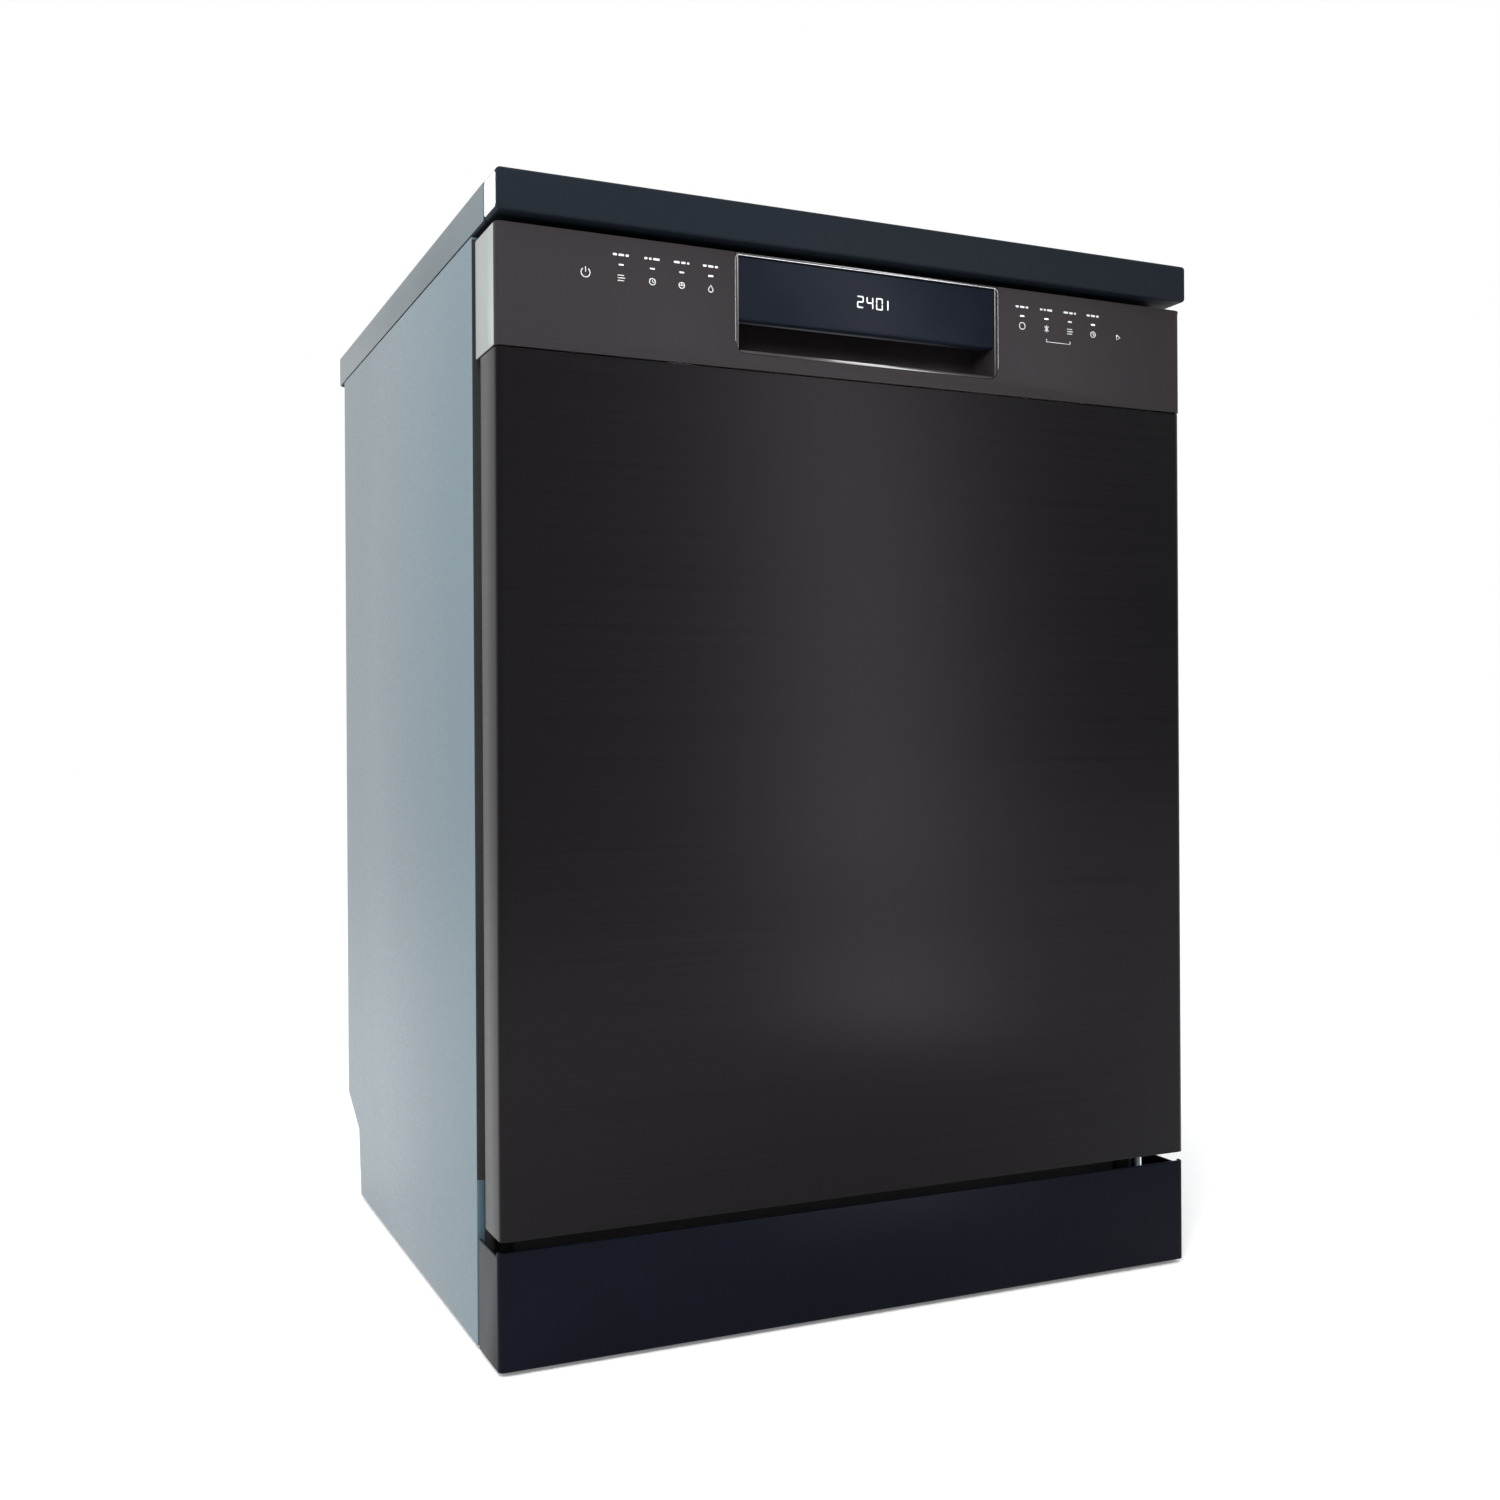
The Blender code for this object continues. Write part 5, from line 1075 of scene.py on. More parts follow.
class DISHWASHER_OT_handle(bpy.types.Operator):
    """Build the grip pocket, the thin bright line round it, and the display bar with its figures."""

    bl_idname = "dishwasher.handle"
    bl_label = "Handle pocket and display"

    def execute(self, context):
        refine("handle_pocket", 0.0006, 3)
        refine("display_bar", 0.0008, 4, "display_window")
        low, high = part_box("handle_pocket")
        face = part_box("console")[0].y
        left, right, top, bottom = low.x - 0.0007, high.x + 0.0007, high.z - 0.0018, low.z + 0.008
        path = bent(
            [(left, face, bottom), (left, face, top), (right, face, top), (right, face, bottom)], 0.004
        )
        add_wires("pocket_bright_line", [(path, 0.00045, False)], "bright_trim", "door")

        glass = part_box("display_bar")[0].y
        figures = bmesh.new()
        for k, figure in enumerate("240"):
            for bar in digit_bars(figure, -0.0090 + 0.0084 * k, 0.7790, 0.0058, 0.0092):
                merge(figures, prism(bar, "Y", glass - 0.00010, glass + 0.0004))
        bar = rounded_outline(0.0148, 0.0157, 0.7795, 0.7870, 0.0003, 1)
        merge(figures, prism(bar, "Y", glass - 0.00010, glass + 0.0004))
        add_mesh("display_figures", figures, "lit_sign", "door")
        return {"FINISHED"}


# Parts on the control board: middle in X and Z, width and height.
BOARD_PARTS = (
    (0.145, 0.780, 0.010, 0.012),
    (0.175, 0.765, 0.018, 0.014),
    (0.205, 0.782, 0.012, 0.008),
    (0.245, 0.760, 0.022, 0.010),
)


class DISHWASHER_OT_door_lining(bpy.types.Operator):
    """Build the door's steel inner face, the lower seal, the lock and the control board."""

    bl_idname = "dishwasher.door_lining"
    bl_label = "Door lining"

    def execute(self, context):
        refine("door_inner_liner", 0.0006, 2)
        refine("door_bottom_seal", 0.0012, 3)
        refine("door_lock", 0.0008, 3)
        refine("lock_catch", 0.0003, 2)
        repaint("control_board")
        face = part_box("door_inner_liner")[1].y
        ribs = bmesh.new()
        for x in (-0.205, 0.205):
            outline = rounded_outline(x - 0.0055, x + 0.0055, 0.175, 0.700, 0.0054)
            merge(ribs, prism(outline, "Y", face - 0.0005, face + 0.0007, 0.0010, 4))
        for z in (0.215, 0.325):
            outline = rounded_outline(-0.165, 0.165, z - 0.0055, z + 0.0055, 0.0054)
            merge(ribs, prism(outline, "Y", face - 0.0005, face + 0.0007, 0.0010, 4))
        add_mesh("door_liner_ribs", ribs, "tub_steel", "door", angle=60)

        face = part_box("control_board")[1].y
        parts = bmesh.new()
        for x, z, w, h in BOARD_PARTS:
            near = (x - w / 2, face - 0.0002, z - h / 2)
            far = (x + w / 2, face + 0.0055, z + h / 2)
            merge(parts, block(near, far, 0.0006, 2))
        add_mesh("control_board_parts", parts, "shadow_plastic", "door")
        return {"FINISHED"}


class DISHWASHER_OT_dispenser(bpy.types.Operator):
    """Build the detergent dispenser: its body, sliding lid with finger ribs, and rinse-aid cap."""

    bl_idname = "dishwasher.dispenser"
    bl_label = "Dispenser"

    def execute(self, context):
        refine("dispenser_body", 0.0006, 3)
        refine("dispenser_lid", 0.0006, 3)
        refine("rinse_aid_cap", 0.0008, 3)
        low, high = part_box("dispenser_lid")
        ribs = bmesh.new()
        for k in range(6):
            x = low.x + 0.012 + 0.005 * k
            merge(
                ribs,
                block(
                    (x, high.y - 0.0003, low.z + 0.028),
                    (x + 0.002, high.y + 0.0007, high.z - 0.028),
                    0.0005,
                    3,
                ),
            )
        add_mesh("dispenser_lid_ribs", ribs, "dispenser_plastic", "dispenser_lid")
        low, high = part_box("rinse_aid_cap")
        x, z = (low.x + high.x) / 2, (low.z + high.z) / 2
        marks = bmesh.new()
        for k in range(24):
            angle = 2 * math.pi * k / 24
            reach = (high.x - low.x) / 2 - 0.0016
            a, b = x + reach * math.cos(angle), z + reach * math.sin(angle)
            merge(
                marks,
                turned(
                    [
                        (0.0, high.y - 0.004),
                        (0.0009, high.y - 0.004),
                        (0.0009, high.y - 0.0006),
                        (0.0, high.y - 0.0003),
                    ],
                    "Y",
                    (a, b),
                    8,
                ),
            )
        add_mesh("rinse_cap_grips", marks, "rinse_cap_blue", "rinse_aid_cap")
        return {"FINISHED"}


def coil(x, z, radius, start, end, pitch, steps=10):
    """A helix along Y."""
    turns = (end - start) / pitch
    count = int(turns * steps)
    out = []
    for k in range(count + 1):
        angle = 2 * math.pi * k / steps
        out.append(
            (x + radius * math.cos(angle), start + (end - start) * k / count, z + radius * math.sin(angle))
        )
    return out


class DISHWASHER_OT_hinges(bpy.types.Operator):
    """Build the hinge brackets and the door's hinge arms, darkened as painted shade, and the coiled balance
    springs.
    """

    bl_idname = "dishwasher.hinges"
    bl_label = "Hinges and springs"

    def execute(self, context):
        for hand in ("left", "right"):
            # The hinge parts get the darkened zinc: painted shade for the gap they sit in.
            refine(hand + "_hinge_bracket", 0.0003, 2, "hinge_shade_zinc")
            refine(hand + "_hinge_arm", 0.0003, 2, "hinge_shade_zinc")
            low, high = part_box(hand + "_door_spring")
            x, z = (low.x + high.x) / 2, (low.z + high.z) / 2
            radius = (high.x - low.x) / 2 - 0.0009
            wound = coil(x, z, radius, low.y + 0.050, high.y - 0.014, 0.0026)
            front = [(x, low.y + 0.001, z), (x, low.y + 0.030, z), (x + radius * 0.5, low.y + 0.044, z)]
            rear = [(x + radius * 0.5, high.y - 0.010, z), (x, high.y - 0.006, z), (x, high.y - 0.001, z)]
            path = bent(front, 0.01) + wound + bent(rear, 0.003)
            name = hand + "_door_spring"
            add_wires(
                name + "_coil",
                [(path, 0.00085, False)],
                "galvanised_steel",
                "cabinet",
                (name,),
                2,
            )
        return {"FINISHED"}


# --- Tub --------------------------------------------------------------------------------------------
class DISHWASHER_OT_tub(bpy.types.Operator):
    """Build the stainless tub with pressed ribs on its walls, its floor and its rubber seal."""

    bl_idname = "dishwasher.tub"
    bl_label = "Tub"

    def execute(self, context):
        refine("tub_wrap", 0.0006, 2)
        refine("tub_back", 0.0004, 1)
        refine("tub_floor", 0.0005, 2)
        refine("lock_striker", 0.0003, 2)
        ribs = bmesh.new()
        wall = 0.2770
        for side in (-1, 1):
            near, far = sorted((side * (wall + 0.0006), side * (wall - 0.0010)))
            for z in (0.300, 0.390, 0.580, 0.670):
                outline = rounded_outline(-0.190, 0.215, z - 0.006, z + 0.006, 0.0059)
                merge(ribs, prism(outline, "X", near, far, 0.0014, 4))
        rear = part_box("tub_back")[0].y
        for x in (-0.205, -0.120, 0.120, 0.205):
            outline = rounded_outline(x - 0.007, x + 0.007, 0.190, 0.720, 0.0069)
            merge(ribs, prism(outline, "Y", rear - 0.0012, rear + 0.0004, 0.0014, 4))
        add_mesh("tub_ribs", ribs, "tub_steel", "cabinet", angle=60)

        low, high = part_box("tub_gasket")
        centre = high.x - 0.0055
        top = high.z - 0.0055
        corner = 0.036
        bulb = sizes().gasket_radius
        strokes = []
        for radius, y, inset in (
            (bulb, low.y + bulb + 0.0006, 0.0),
            (0.0024, high.y - 0.0042, 0.0),
            (0.0016, high.y - 0.0017, 0.0032),
            (0.0016, high.y - 0.0017, -0.0032),
        ):
            half = centre - inset
            peak = top - inset
            path = bent(
                [(-half, y, low.z), (-half, y, peak), (half, y, peak), (half, y, low.z)], corner - inset, 14
            )
            strokes.append((path, radius, False))
        add_wires("tub_gasket_bulb", strokes, "seal_rubber", "cabinet", ("tub_gasket",), 5)
        return {"FINISHED"}


class DISHWASHER_OT_sump(bpy.types.Operator):
    """Build the sump, the filters and the salt cap."""

    bl_idname = "dishwasher.sump"
    bl_label = "Sump and filters"

    def execute(self, context):
        refine("sump", 0.0005, 2)
        repaint("filter_plate")
        refine("filter_cup", 0.0004, 2)
        refine("salt_cap", 0.0008, 3)
        return {"FINISHED"}


def add_jets(arm, hole_shade_finish):
    """Nozzles along both halves of a spray arm: a raised ring round a dark disc, painted shade for the
    nozzle's opening.
    """
    low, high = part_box(arm)
    count = sizes().jet_count
    middle_y = (low.y + high.y) / 2
    rings, nozzle_shade = bmesh.new(), bmesh.new()
    for side in (-1, 1):
        for k in range(count):
            x = side * (0.055 + (high.x - 0.085) * k / max(1, count - 1))
            y = middle_y + 0.006 * (-1) ** k
            top = surface(arm, (x, y, high.z + 0.05), (0, 0, -1)).z
            merge(
                rings,
                turned(
                    [
                        (0.0016, top - 0.0004),
                        (0.0034, top - 0.0004),
                        (0.0030, top + 0.0008),
                        (0.0018, top + 0.0008),
                    ],
                    "Z",
                    (x, y),
                    20,
                ),
            )
            # Dark disc in each ring: painted shade standing for the nozzle's opening.
            merge(
                nozzle_shade,
                turned(
                    [
                        (0.0, top - 0.0003),
                        (0.0017, top - 0.0003),
                        (0.0017, top + 0.0003),
                        (0.0, top + 0.0003),
                    ],
                    "Z",
                    (x, y),
                    16,
                ),
            )
    add_mesh(arm + "_jets", rings, "grey_moulding", arm)
    add_mesh(arm + "_nozzle_shade", nozzle_shade, hole_shade_finish, arm)


class DISHWASHER_OT_spray(bpy.types.Operator):
    """Build the spray arms with their nozzles, the feed tube and the upper manifold."""

    bl_idname = "dishwasher.spray"
    bl_label = "Spray arms"

    def execute(self, context):
        refine("lower_spray_arm", 0.0010, 3)
        refine("upper_spray_arm", 0.0010, 3)
        refine("spray_feed_tube", 0.0010, 3)
        refine("upper_spray_manifold", 0.0008, 3)
        add_jets("lower_spray_arm", "shadow_plastic")
        add_jets("upper_spray_arm", "shadow_plastic")
        return {"FINISHED"}


class DISHWASHER_OT_machinery(bpy.types.Operator):
    """Build the pumps, the softener, the inlet valve and the terminal box."""

    bl_idname = "dishwasher.machinery"
    bl_label = "Machinery"

    def execute(self, context):
        for name in ("wash_pump", "drain_pump", "water_softener", "inlet_valve", "mains_terminal_box"):
            refine(name, 0.0007, 2)
        return {"FINISHED"}


# --- Racks ------------------------------------------------------------------------------------------
def basket_wires(half, front, back, floor, top, rims, across, along, rim_radius, wire_radius):
    """Strokes of a welded basket: U-shaped wires both ways under round-cornered rims."""
    strokes = []
    bend = 0.014
    under = floor - 2 * wire_radius
    for y in across:
        path = bent([(-half, y, top), (-half, y, floor), (half, y, floor), (half, y, top)], bend)
        strokes.append((path, wire_radius, False))
    for x in along:
        path = bent([(x, front, top), (x, front, under), (x, back, under), (x, back, top)], bend)
        strokes.append((path, wire_radius, False))
    reach = wire_radius + rim_radius * 0.6
    for z in rims:
        loop = [
            (-half - reach, front - reach, z),
            (half + reach, front - reach, z),
            (half + reach, back + reach, z),
            (-half - reach, back + reach, z),
        ]
        strokes.append((bent(loop, 0.022, 6, True), rim_radius, True))
    return strokes


WHEEL_ROWS = (-0.098, 0.165)


class DISHWASHER_OT_lower_rack(bpy.types.Operator):
    """Build the lower rack: coated round wires, wheel brackets with axles, and a front grip."""

    bl_idname = "dishwasher.lower_rack"
    bl_label = "Lower rack"

    def execute(self, context):
        half, front, back, floor, top = 0.2480, -0.2110, 0.2230, 0.2055, 0.3430
        strokes = basket_wires(
            half,
            front,
            back,
            floor,
            top,
            (0.2670, top),
            spread(front + 0.020, back - 0.020, 15),
            spread(-half + 0.022, half - 0.022, 12),
            sizes().wire_radius,
            sizes().thin_wire_radius,
        )
        add_wires(
            "lower_rack_wires", strokes, "rack_coating", "lower_rack_frame", ("lower_rack",)
        )
        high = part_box("lower_rack")[1]
        axle = (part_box("front_left_wheel")[0].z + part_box("front_left_wheel")[1].z) / 2
        fittings = bmesh.new()
        for y in WHEEL_ROWS:
            for side in (-1, 1):
                near, far = sorted((side * 0.2497, side * 0.2525))
                outline = arc((y, axle), 0.0075, 180, 360, 10) + [
                    (y + 0.011, 0.262), (y + 0.009, 0.2660), (y - 0.009, 0.2660), (y - 0.011, 0.262)
                ]
                merge(fittings, prism(outline, "X", near, far, 0.0006, 2))
                near, far = sorted((side * 0.2515, side * high.x))
                merge(
                    fittings,
                    turned([(0.0, near), (0.0029, near), (0.0029, far), (0.0, far)], "X", (y, axle), 20),
                )
        add_mesh("lower_rack_fittings", fittings, "wheel_plastic", "lower_rack_frame")
        grip = block((-0.085, -0.2200, 0.3335), (0.085, -0.2105, 0.3500), 0.0035, 4)
        add_mesh("lower_rack_grip", grip, "wheel_plastic", "lower_rack_frame")
        return {"FINISHED"}


class DISHWASHER_OT_wheels(bpy.types.Operator):
    """Build the four rack wheels with their hubs and spokes."""

    bl_idname = "dishwasher.wheels"
    bl_label = "Rack wheels"

    def execute(self, context):
        for name in ("front_left_wheel", "front_right_wheel", "rear_left_wheel", "rear_right_wheel"):
            low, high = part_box(name)
            y, z = (low.y + high.y) / 2, (low.z + high.z) / 2
            r = (high.y - low.y) / 2
            tyre = [
                (r - 0.0040, low.x),
                (r - 0.0012, low.x),
                (r, low.x + 0.0012),
                (r, high.x - 0.0012),
                (r - 0.0012, high.x),
                (r - 0.0040, high.x),
            ]
            web = [
                (0.0065, low.x + 0.0030),
                (r - 0.0035, low.x + 0.0030),
                (r - 0.0035, high.x - 0.0030),
                (0.0065, high.x - 0.0030),
            ]
            hub = [(0.0033, low.x), (0.0070, low.x), (0.0070, high.x), (0.0033, high.x)]
            wheel = turned(tyre, "X", (y, z), 48)
            merge(wheel, turned(web, "X", (y, z), 48))
            merge(wheel, turned(hub, "X", (y, z), 24))
            for k in range(8):
                spoke = block(
                    (low.x + 0.0008, 0.0062, -0.0007), (high.x - 0.0008, r - 0.0032, 0.0007), 0.0003, 1
                )
                bmesh.ops.rotate(
                    spoke, verts=spoke.verts, cent=(0, 0, 0), matrix=Matrix.Rotation(math.pi * k / 4, 3, "X")
                )
                bmesh.ops.translate(spoke, verts=spoke.verts, vec=(0, y, z))
                merge(wheel, spoke)
            add_mesh(name + "_rim", wheel, "wheel_plastic", name, (name,))
        return {"FINISHED"}


class DISHWASHER_OT_tine_rows(bpy.types.Operator):
    """Build the two folding rows of plate tines."""

    bl_idname = "dishwasher.tine_rows"
    bl_label = "Tine rows"

    def execute(self, context):
        for name in ("front_tine_row", "rear_tine_row"):
            low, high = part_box(name)
            y = (low.y + high.y) / 2
            z = low.z + 0.0023
            rod = [(low.x, y, z), (high.x, y, z)]
            strokes = [(rod, 0.0021, False)]
            for x in spread(low.x + 0.010, high.x - 0.010, 9):
                strokes.append(([(x, y, z), (x, y, high.z - 0.0012)], 0.00155, False))
            add_wires(name + "_wires", strokes, "rack_coating", name, (name,))
            tips = bmesh.new()
            for x in spread(low.x + 0.010, high.x - 0.010, 9):
                profile = [
                    (0.0, high.z - 0.0060),
                    (0.0019, high.z - 0.0060),
                    (0.0020, high.z - 0.0018),
                    (0.0013, high.z - 0.0004),
                    (0.0, high.z),
                ]
                merge(tips, turned(profile, "Z", (x, y), 16))
            add_mesh(name + "_tips", tips, "rack_coating", name)
        return {"FINISHED"}


class DISHWASHER_OT_cutlery_basket(bpy.types.Operator):
    """Build the slatted cutlery basket with its middle wall and carrying loop."""

    bl_idname = "dishwasher.cutlery_basket"
    bl_label = "Cutlery basket"

    def execute(self, context):
        low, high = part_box("cutlery_basket")
        rim = low.z + 0.120
        t = 0.0020
        slats = bmesh.new()
        x0, x1, y0, y1 = low.x + 0.0005, high.x - 0.0005, low.y + 0.0005, high.y - 0.0005
        for x in (x0, x1 - t):
            for y in spread(y0 + 0.006, y1 - 0.009, 26):
                merge(slats, block((x, y, low.z + 0.001), (x + t, y + 0.0032, rim - 0.002), 0.0004, 1))
        for y in (y0, y1 - t):
            for x in spread(x0 + 0.006, x1 - 0.009, 13):
                merge(slats, block((x, y, low.z + 0.001), (x + 0.0032, y + t, rim - 0.002), 0.0004, 1))
        for z, tall in ((low.z, 0.010), (low.z + 0.058, 0.004), (rim - 0.007, 0.007)):
            grow = 0.0005
            outer = rounded_outline(low.x, high.x, low.y, high.y, 0.009)
            inner = rounded_outline(
                low.x + t + grow, high.x - t - grow, low.y + t + grow, high.y - t - grow, 0.0065
            )
            merge(slats, ring_prism(outer, inner, z, z + tall))
        for x in spread(x0 + 0.010, x1 - 0.010, 10):
            merge(
                slats,
                block(
                    (x - 0.0012, y0 + 0.001, low.z + 0.0005),
                    (x + 0.0012, y1 - 0.001, low.z + 0.0030),
                    0.0003,
                    1,
                ),
            )
        for y in spread(y0 + 0.010, y1 - 0.010, 20):
            merge(
                slats,
                block(
                    (x0 + 0.001, y - 0.0012, low.z + 0.0005),
                    (x1 - 0.001, y + 0.0012, low.z + 0.0030),
                    0.0003,
                    1,
                ),
            )
        middle_x = (low.x + high.x) / 2
        for y in spread(y0 + 0.008, y1 - 0.010, 22):
            merge(
                slats,
                block(
                    (middle_x - 0.001, y, low.z + 0.002),
                    (middle_x + 0.001, y + 0.0032, rim - 0.004),
                    0.0004,
                    1,
                ),
            )
        for z in (low.z + 0.001, low.z + 0.058, rim - 0.007):
            merge(
                slats,
                block(
                    (middle_x - 0.0013, y0 + 0.001, z), (middle_x + 0.0013, y1 - 0.001, z + 0.005), 0.0005, 1
                ),
            )
        add_mesh(
            "cutlery_basket_slats",
            slats,
            "basket_plastic",
            "lower_rack_frame",
            ("cutlery_basket",),
        )
        middle_y = (low.y + high.y) / 2
        loop = bent(
            [
                (middle_x, middle_y - 0.066, rim - 0.006),
                (middle_x, middle_y - 0.046, high.z - 0.0036),
                (middle_x, middle_y + 0.046, high.z - 0.0036),
                (middle_x, middle_y + 0.066, rim - 0.006),
            ],
            0.014,
            7,
        )
        add_wires(
            "cutlery_basket_loop",
            [(loop, 0.0034, False)],
            "basket_plastic",
            "lower_rack_frame",
        )
        return {"FINISHED"}


def ring_prism(outer, inner, low, high):
    """A hoop between two outlines with the same number of points."""
    bm = bmesh.new()
    loops = [
        [bm.verts.new((a, b, z)) for a, b in line]
        for line, z in ((outer, low), (outer, high), (inner, high), (inner, low))
    ]
    for one, other in zip(loops, loops[1:] + loops[:1]):
        for k in range(len(one)):
            after = (k + 1) % len(one)
            bm.faces.new((one[k], one[after], other[after], other[k]))
    bmesh.ops.recalc_face_normals(bm, faces=bm.faces)
    return bm


class DISHWASHER_OT_upper_rack(bpy.types.Operator):
    """Build the upper rack: coated round wires, rail shoes and a front grip."""

    bl_idname = "dishwasher.upper_rack"
    bl_label = "Upper rack"

    def execute(self, context):
        half, front, back, floor, top = 0.2380, -0.2110, 0.2230, 0.4560, 0.5930
        strokes = basket_wires(
            half,
            front,
            back,
            floor,
            top,
            (0.5100, top),
            spread(front + 0.020, back - 0.020, 15),
            spread(-half + 0.018, half - 0.018, 10),
            sizes().wire_radius,
            sizes().thin_wire_radius * 0.9,
        )
        add_wires(
            "upper_rack_wires", strokes, "rack_coating", "upper_rack_frame", ("upper_rack",)
        )
        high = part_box("upper_rack")[1]
        shoes = bmesh.new()
        for y in (0.175, 0.045):
            for side in (-1, 1):
                near, far = sorted((side * 0.2395, side * high.x))
                merge(
                    shoes,
                    prism(
                        rounded_outline(y - 0.0178, y + 0.0178, 0.5012, 0.5188, 0.004),
                        "X",
                        near,
                        far,
                        0.0010,
                        3,
                    ),
                )
        add_mesh("upper_rack_shoes", shoes, "wheel_plastic", "upper_rack_frame")
        grip = block((-0.085, -0.2200, 0.5830), (0.085, -0.2105, 0.5995), 0.0035, 4)
        add_mesh("upper_rack_grip", grip, "wheel_plastic", "upper_rack_frame")
        return {"FINISHED"}


class DISHWASHER_OT_rails(bpy.types.Operator):
    """Build the two telescopic rails."""

    bl_idname = "dishwasher.rails"
    bl_label = "Rack rails"

    def execute(self, context):
        refine("left_rack_rail", 0.0004, 2)
        refine("right_rack_rail", 0.0004, 2)
        return {"FINISHED"}


class DISHWASHER_OT_cup_shelves(bpy.types.Operator):
    """Build the two folding cup shelves."""

    bl_idname = "dishwasher.cup_shelves"
    bl_label = "Cup shelves"

    def execute(self, context):
        for side, name in ((-1, "left_cup_shelf"), (1, "right_cup_shelf")):
            low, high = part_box(name)
            axis_x, inner_x = (low.x, high.x) if side < 0 else (high.x, low.x)
            axis_x -= side * 0.0023
            inner_x += side * 0.0018
            z = 0.540
            strokes = [([(axis_x, low.y, z), (axis_x, high.y, z)], 0.0021, False)]
            rows = spread(low.y + 0.012, high.y - 0.012, 13)
            for y in rows:
                strokes.append(([(axis_x, y, z), (inner_x, y, z)], 0.00125, False))
            edge_z = z + 0.0012
            frame_path = bent(
                [
                    (axis_x, low.y + 0.005, edge_z),
                    (inner_x, low.y + 0.005, edge_z),
                    (inner_x, high.y - 0.005, edge_z),
                    (axis_x, high.y - 0.005, edge_z),
                ],
                0.012,
            )
            strokes.append((frame_path, 0.0016, False))
            strokes.append(
                (
                    [
                        ((axis_x + inner_x) / 2, low.y + 0.012, edge_z),
                        ((axis_x + inner_x) / 2, high.y - 0.012, edge_z),
                    ],
                    0.0013,
                    False,
                )
            )
            add_wires(name + "_wires", strokes, "rack_coating", name, (name,))
        return {"FINISHED"}


# --- Stage ------------------------------------------------------------------------------------------
class DISHWASHER_OT_stage(bpy.types.Operator):
    """Build the pale floor, the studio lights and the camera."""

    bl_idname = "dishwasher.stage"
    bl_label = "Stage"

    def execute(self, context):
        stage = context.scene.dishwasher_stage
        bm = bmesh.new()
        bmesh.ops.create_grid(bm, x_segments=8, y_segments=8, size=14.0)
        mesh = bpy.data.meshes.new("floor")
        bm.to_mesh(mesh)
        bm.free()
        floor = bpy.data.objects.new("floor", mesh)
        floor.location.z = -0.0005
        context.scene.collection.objects.link(floor)
        pale = start_finish(
            "pale_floor", (0.90, 0.90, 0.90), 0.9, 0.0, Specular_IOR_Level=0.0, Emission_Strength=0.16
        )
        pale.node_tree.nodes["Principled BSDF"].inputs["Emission Color"].default_value = (1.0, 1.0, 1.0, 1.0)
        drift = texture(pale, "ShaderNodeTexNoise", 0.8)
        tint(pale, drift.outputs["Fac"], (0.89, 0.89, 0.89), (0.91, 0.91, 0.91))
        mesh.materials.append(pale)

        world = bpy.data.worlds.new("studio")
        world.use_nodes = True
        self.surroundings(world.node_tree, stage.world_level, stage.dim_level)
        context.scene.world = world
        context.scene.view_settings.view_transform = "Standard"

        self.area("top_light", stage.top_light, (3.0, 3.0), (-0.3, -0.6, 3.0), (0.0, 0.0, 0.4))
        self.area("side_light", stage.side_light, (0.8, 2.6), (-2.6, 1.2, 1.2), (-0.3, 0.0, 0.5))
        strip = self.area(
            "strip_light", stage.strip_light, (0.30, 3.6), (1.17, -2.5, 0.6), (0.02, -0.29, 0.45)
        )
        strip.visible_diffuse = False
        low_strip = self.area(
            "low_strip_light", stage.low_strip_light, (0.30, 2.05), (0.85, -1.75, 0.002), (0.85, -1.75, 1.0)
        )
        low_strip.rotation_euler = (math.pi, 0.0, math.radians(29.8))
        low_strip.visible_diffuse = False
        low_strip.visible_camera = False
        fill = self.area(
            "fill_light", stage.fill_light, (0.4, 0.4), (-0.75, -1.30, 1.10), (-0.10, -0.30, 0.60)
        )
        fill.visible_glossy = False

        data = bpy.data.cameras.new("camera")
        data.sensor_width = 36.0
        data.lens = stage.focal_length
        camera = bpy.data.objects.new("camera", data)
        context.scene.collection.objects.link(camera)
        yaw, pitch, roll = stage.camera_yaw, stage.camera_pitch, stage.camera_roll
        forward = Vector((math.sin(yaw) * math.cos(pitch), math.cos(yaw) * math.cos(pitch), math.sin(pitch)))
        level = Vector((math.cos(yaw), -math.sin(yaw), 0.0))
        up = level.cross(forward)
        right = math.cos(roll) * level + math.sin(roll) * up
        above = -math.sin(roll) * level + math.cos(roll) * up
        turn = Matrix((right, above, -forward)).transposed()
        camera.matrix_world = Matrix.Translation(Vector(stage.camera_place)) @ turn.to_4x4()
        context.scene.camera = camera
        return {"FINISHED"}

    @staticmethod
    def surroundings(tree, level, dim):
        """White to the camera; for other rays dimmer in front of the object, towards its right."""
        nodes, links = tree.nodes, tree.links
        place, apart = nodes.new("ShaderNodeTexCoord"), nodes.new("ShaderNodeSeparateXYZ")
        links.new(place.outputs["Generated"], apart.inputs["Vector"])
        shade = nodes.new("ShaderNodeMath")
        shade.operation = "MULTIPLY"
        for k, (axis, start, end) in enumerate((("X", 0.15, 0.60), ("Y", -0.15, -0.55))):
            ramp = nodes.new("ShaderNodeMapRange")
            ramp.inputs["From Min"].default_value = start
            ramp.inputs["From Max"].default_value = end
            links.new(apart.outputs[axis], ramp.inputs["Value"])
            links.new(ramp.outputs["Result"], shade.inputs[k])
        strength = nodes.new("ShaderNodeMapRange")
        strength.inputs["To Min"].default_value = level
        strength.inputs["To Max"].default_value = dim
        links.new(shade.outputs["Value"], strength.inputs["Value"])
        path, seen = nodes.new("ShaderNodeLightPath"), nodes.new("ShaderNodeMath")
        seen.operation = "MAXIMUM"
        links.new(strength.outputs["Result"], seen.inputs[0])
        links.new(path.outputs["Is Camera Ray"], seen.inputs[1])
        links.new(seen.outputs["Value"], nodes["Background"].inputs["Strength"])
        nodes["Background"].inputs["Color"].default_value = (1.0, 1.0, 1.0, 1.0)

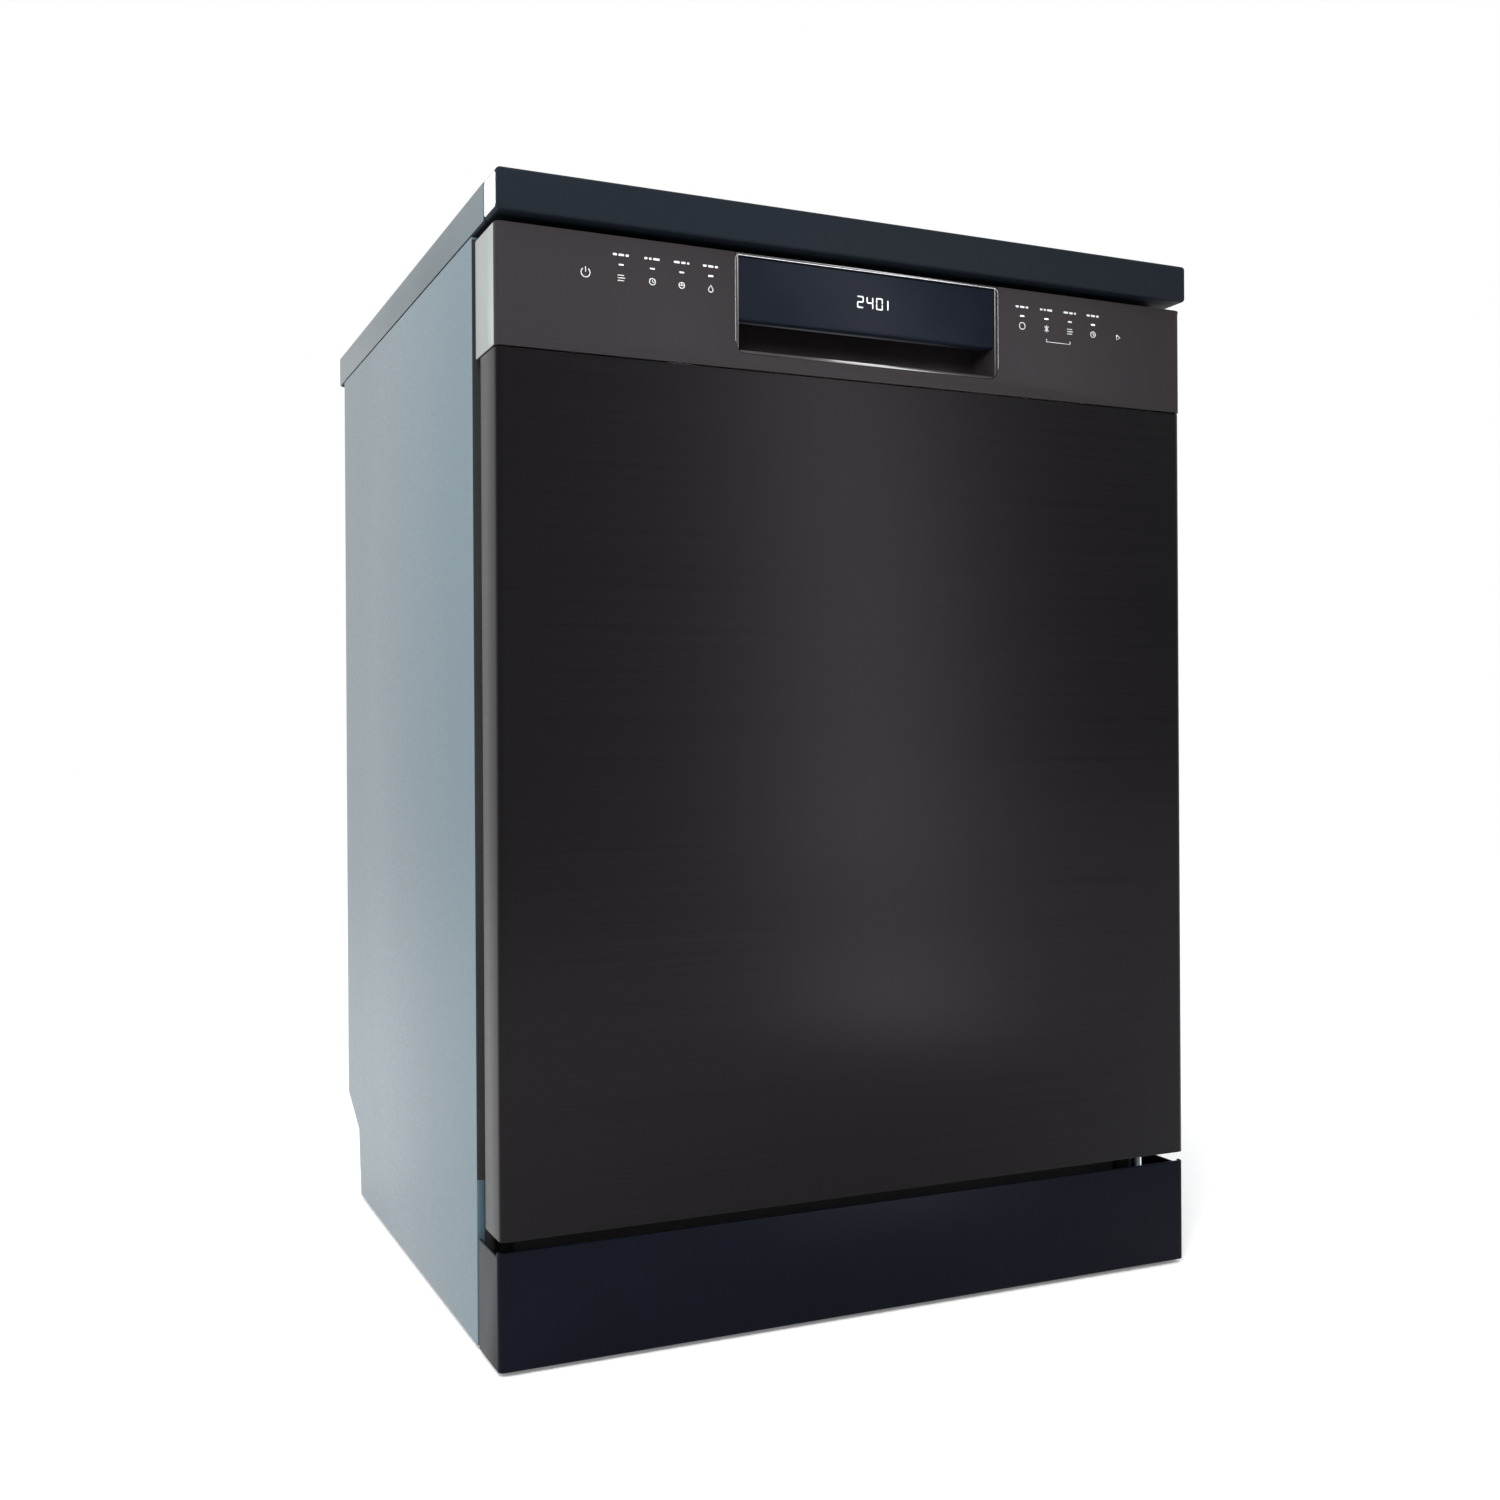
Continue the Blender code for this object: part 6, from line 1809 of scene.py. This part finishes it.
    @staticmethod
    def area(name, power, size, place, aim):
        """A soft rectangular light that points at a place."""
        data = bpy.data.lights.new(name, "AREA")
        data.shape = "RECTANGLE"
        data.size, data.size_y = size
        data.energy = power
        light = bpy.data.objects.new(name, data)
        bpy.context.scene.collection.objects.link(light)
        light.location = place
        light.rotation_euler = (Vector(aim) - Vector(place)).to_track_quat("-Z", "Y").to_euler()
        return light


# --- The add-on -------------------------------------------------------------------------------------
PIECES = (
    DISHWASHER_OT_worktop,
    DISHWASHER_OT_side_panels,
    DISHWASHER_OT_rear_panel,
    DISHWASHER_OT_base,
    DISHWASHER_OT_feet,
    DISHWASHER_OT_door_skin,
    DISHWASHER_OT_console,
    DISHWASHER_OT_handle,
    DISHWASHER_OT_door_lining,
    DISHWASHER_OT_dispenser,
    DISHWASHER_OT_hinges,
    DISHWASHER_OT_tub,
    DISHWASHER_OT_sump,
    DISHWASHER_OT_spray,
    DISHWASHER_OT_machinery,
    DISHWASHER_OT_lower_rack,
    DISHWASHER_OT_wheels,
    DISHWASHER_OT_tine_rows,
    DISHWASHER_OT_cutlery_basket,
    DISHWASHER_OT_upper_rack,
    DISHWASHER_OT_rails,
    DISHWASHER_OT_cup_shelves,
    DISHWASHER_OT_stage,
)
SETTINGS = {
    "dishwasher_sizes": DishwasherSizes,
    "dishwasher_colours": DishwasherColours,
    "dishwasher_stage": DishwasherStage,
}


class DISHWASHER_PT_looks(bpy.types.Panel):
    """Lists the settings and the pieces."""

    bl_label = "Dishwasher"
    bl_idname = "DISHWASHER_PT_looks"
    bl_space_type = "VIEW_3D"
    bl_region_type = "UI"
    bl_category = "Dishwasher"

    def draw(self, context):
        for name, group in SETTINGS.items():
            held = getattr(context.scene, name)
            box = self.layout.box()
            for field in group.__annotations__:
                box.prop(held, field)
        for piece in PIECES:
            self.layout.operator(piece.bl_idname)


def register():
    for group in SETTINGS.values():
        bpy.utils.register_class(group)
    for name, group in SETTINGS.items():
        setattr(bpy.types.Scene, name, bpy.props.PointerProperty(type=group))
    for piece in PIECES:
        bpy.utils.register_class(piece)
    bpy.utils.register_class(DISHWASHER_PT_looks)


def unregister():
    bpy.utils.unregister_class(DISHWASHER_PT_looks)
    for piece in reversed(PIECES):
        bpy.utils.unregister_class(piece)
    for name, group in SETTINGS.items():
        delattr(bpy.types.Scene, name)
        bpy.utils.unregister_class(group)


def corners(bounds):
    return [[float(value) for value in corner] for corner in bounds]


def main():
    register()
    for piece in PIECES:
        family, command = piece.bl_idname.split(".")
        getattr(getattr(bpy.ops, family), command)()


if __name__ == "__main__":
    main()
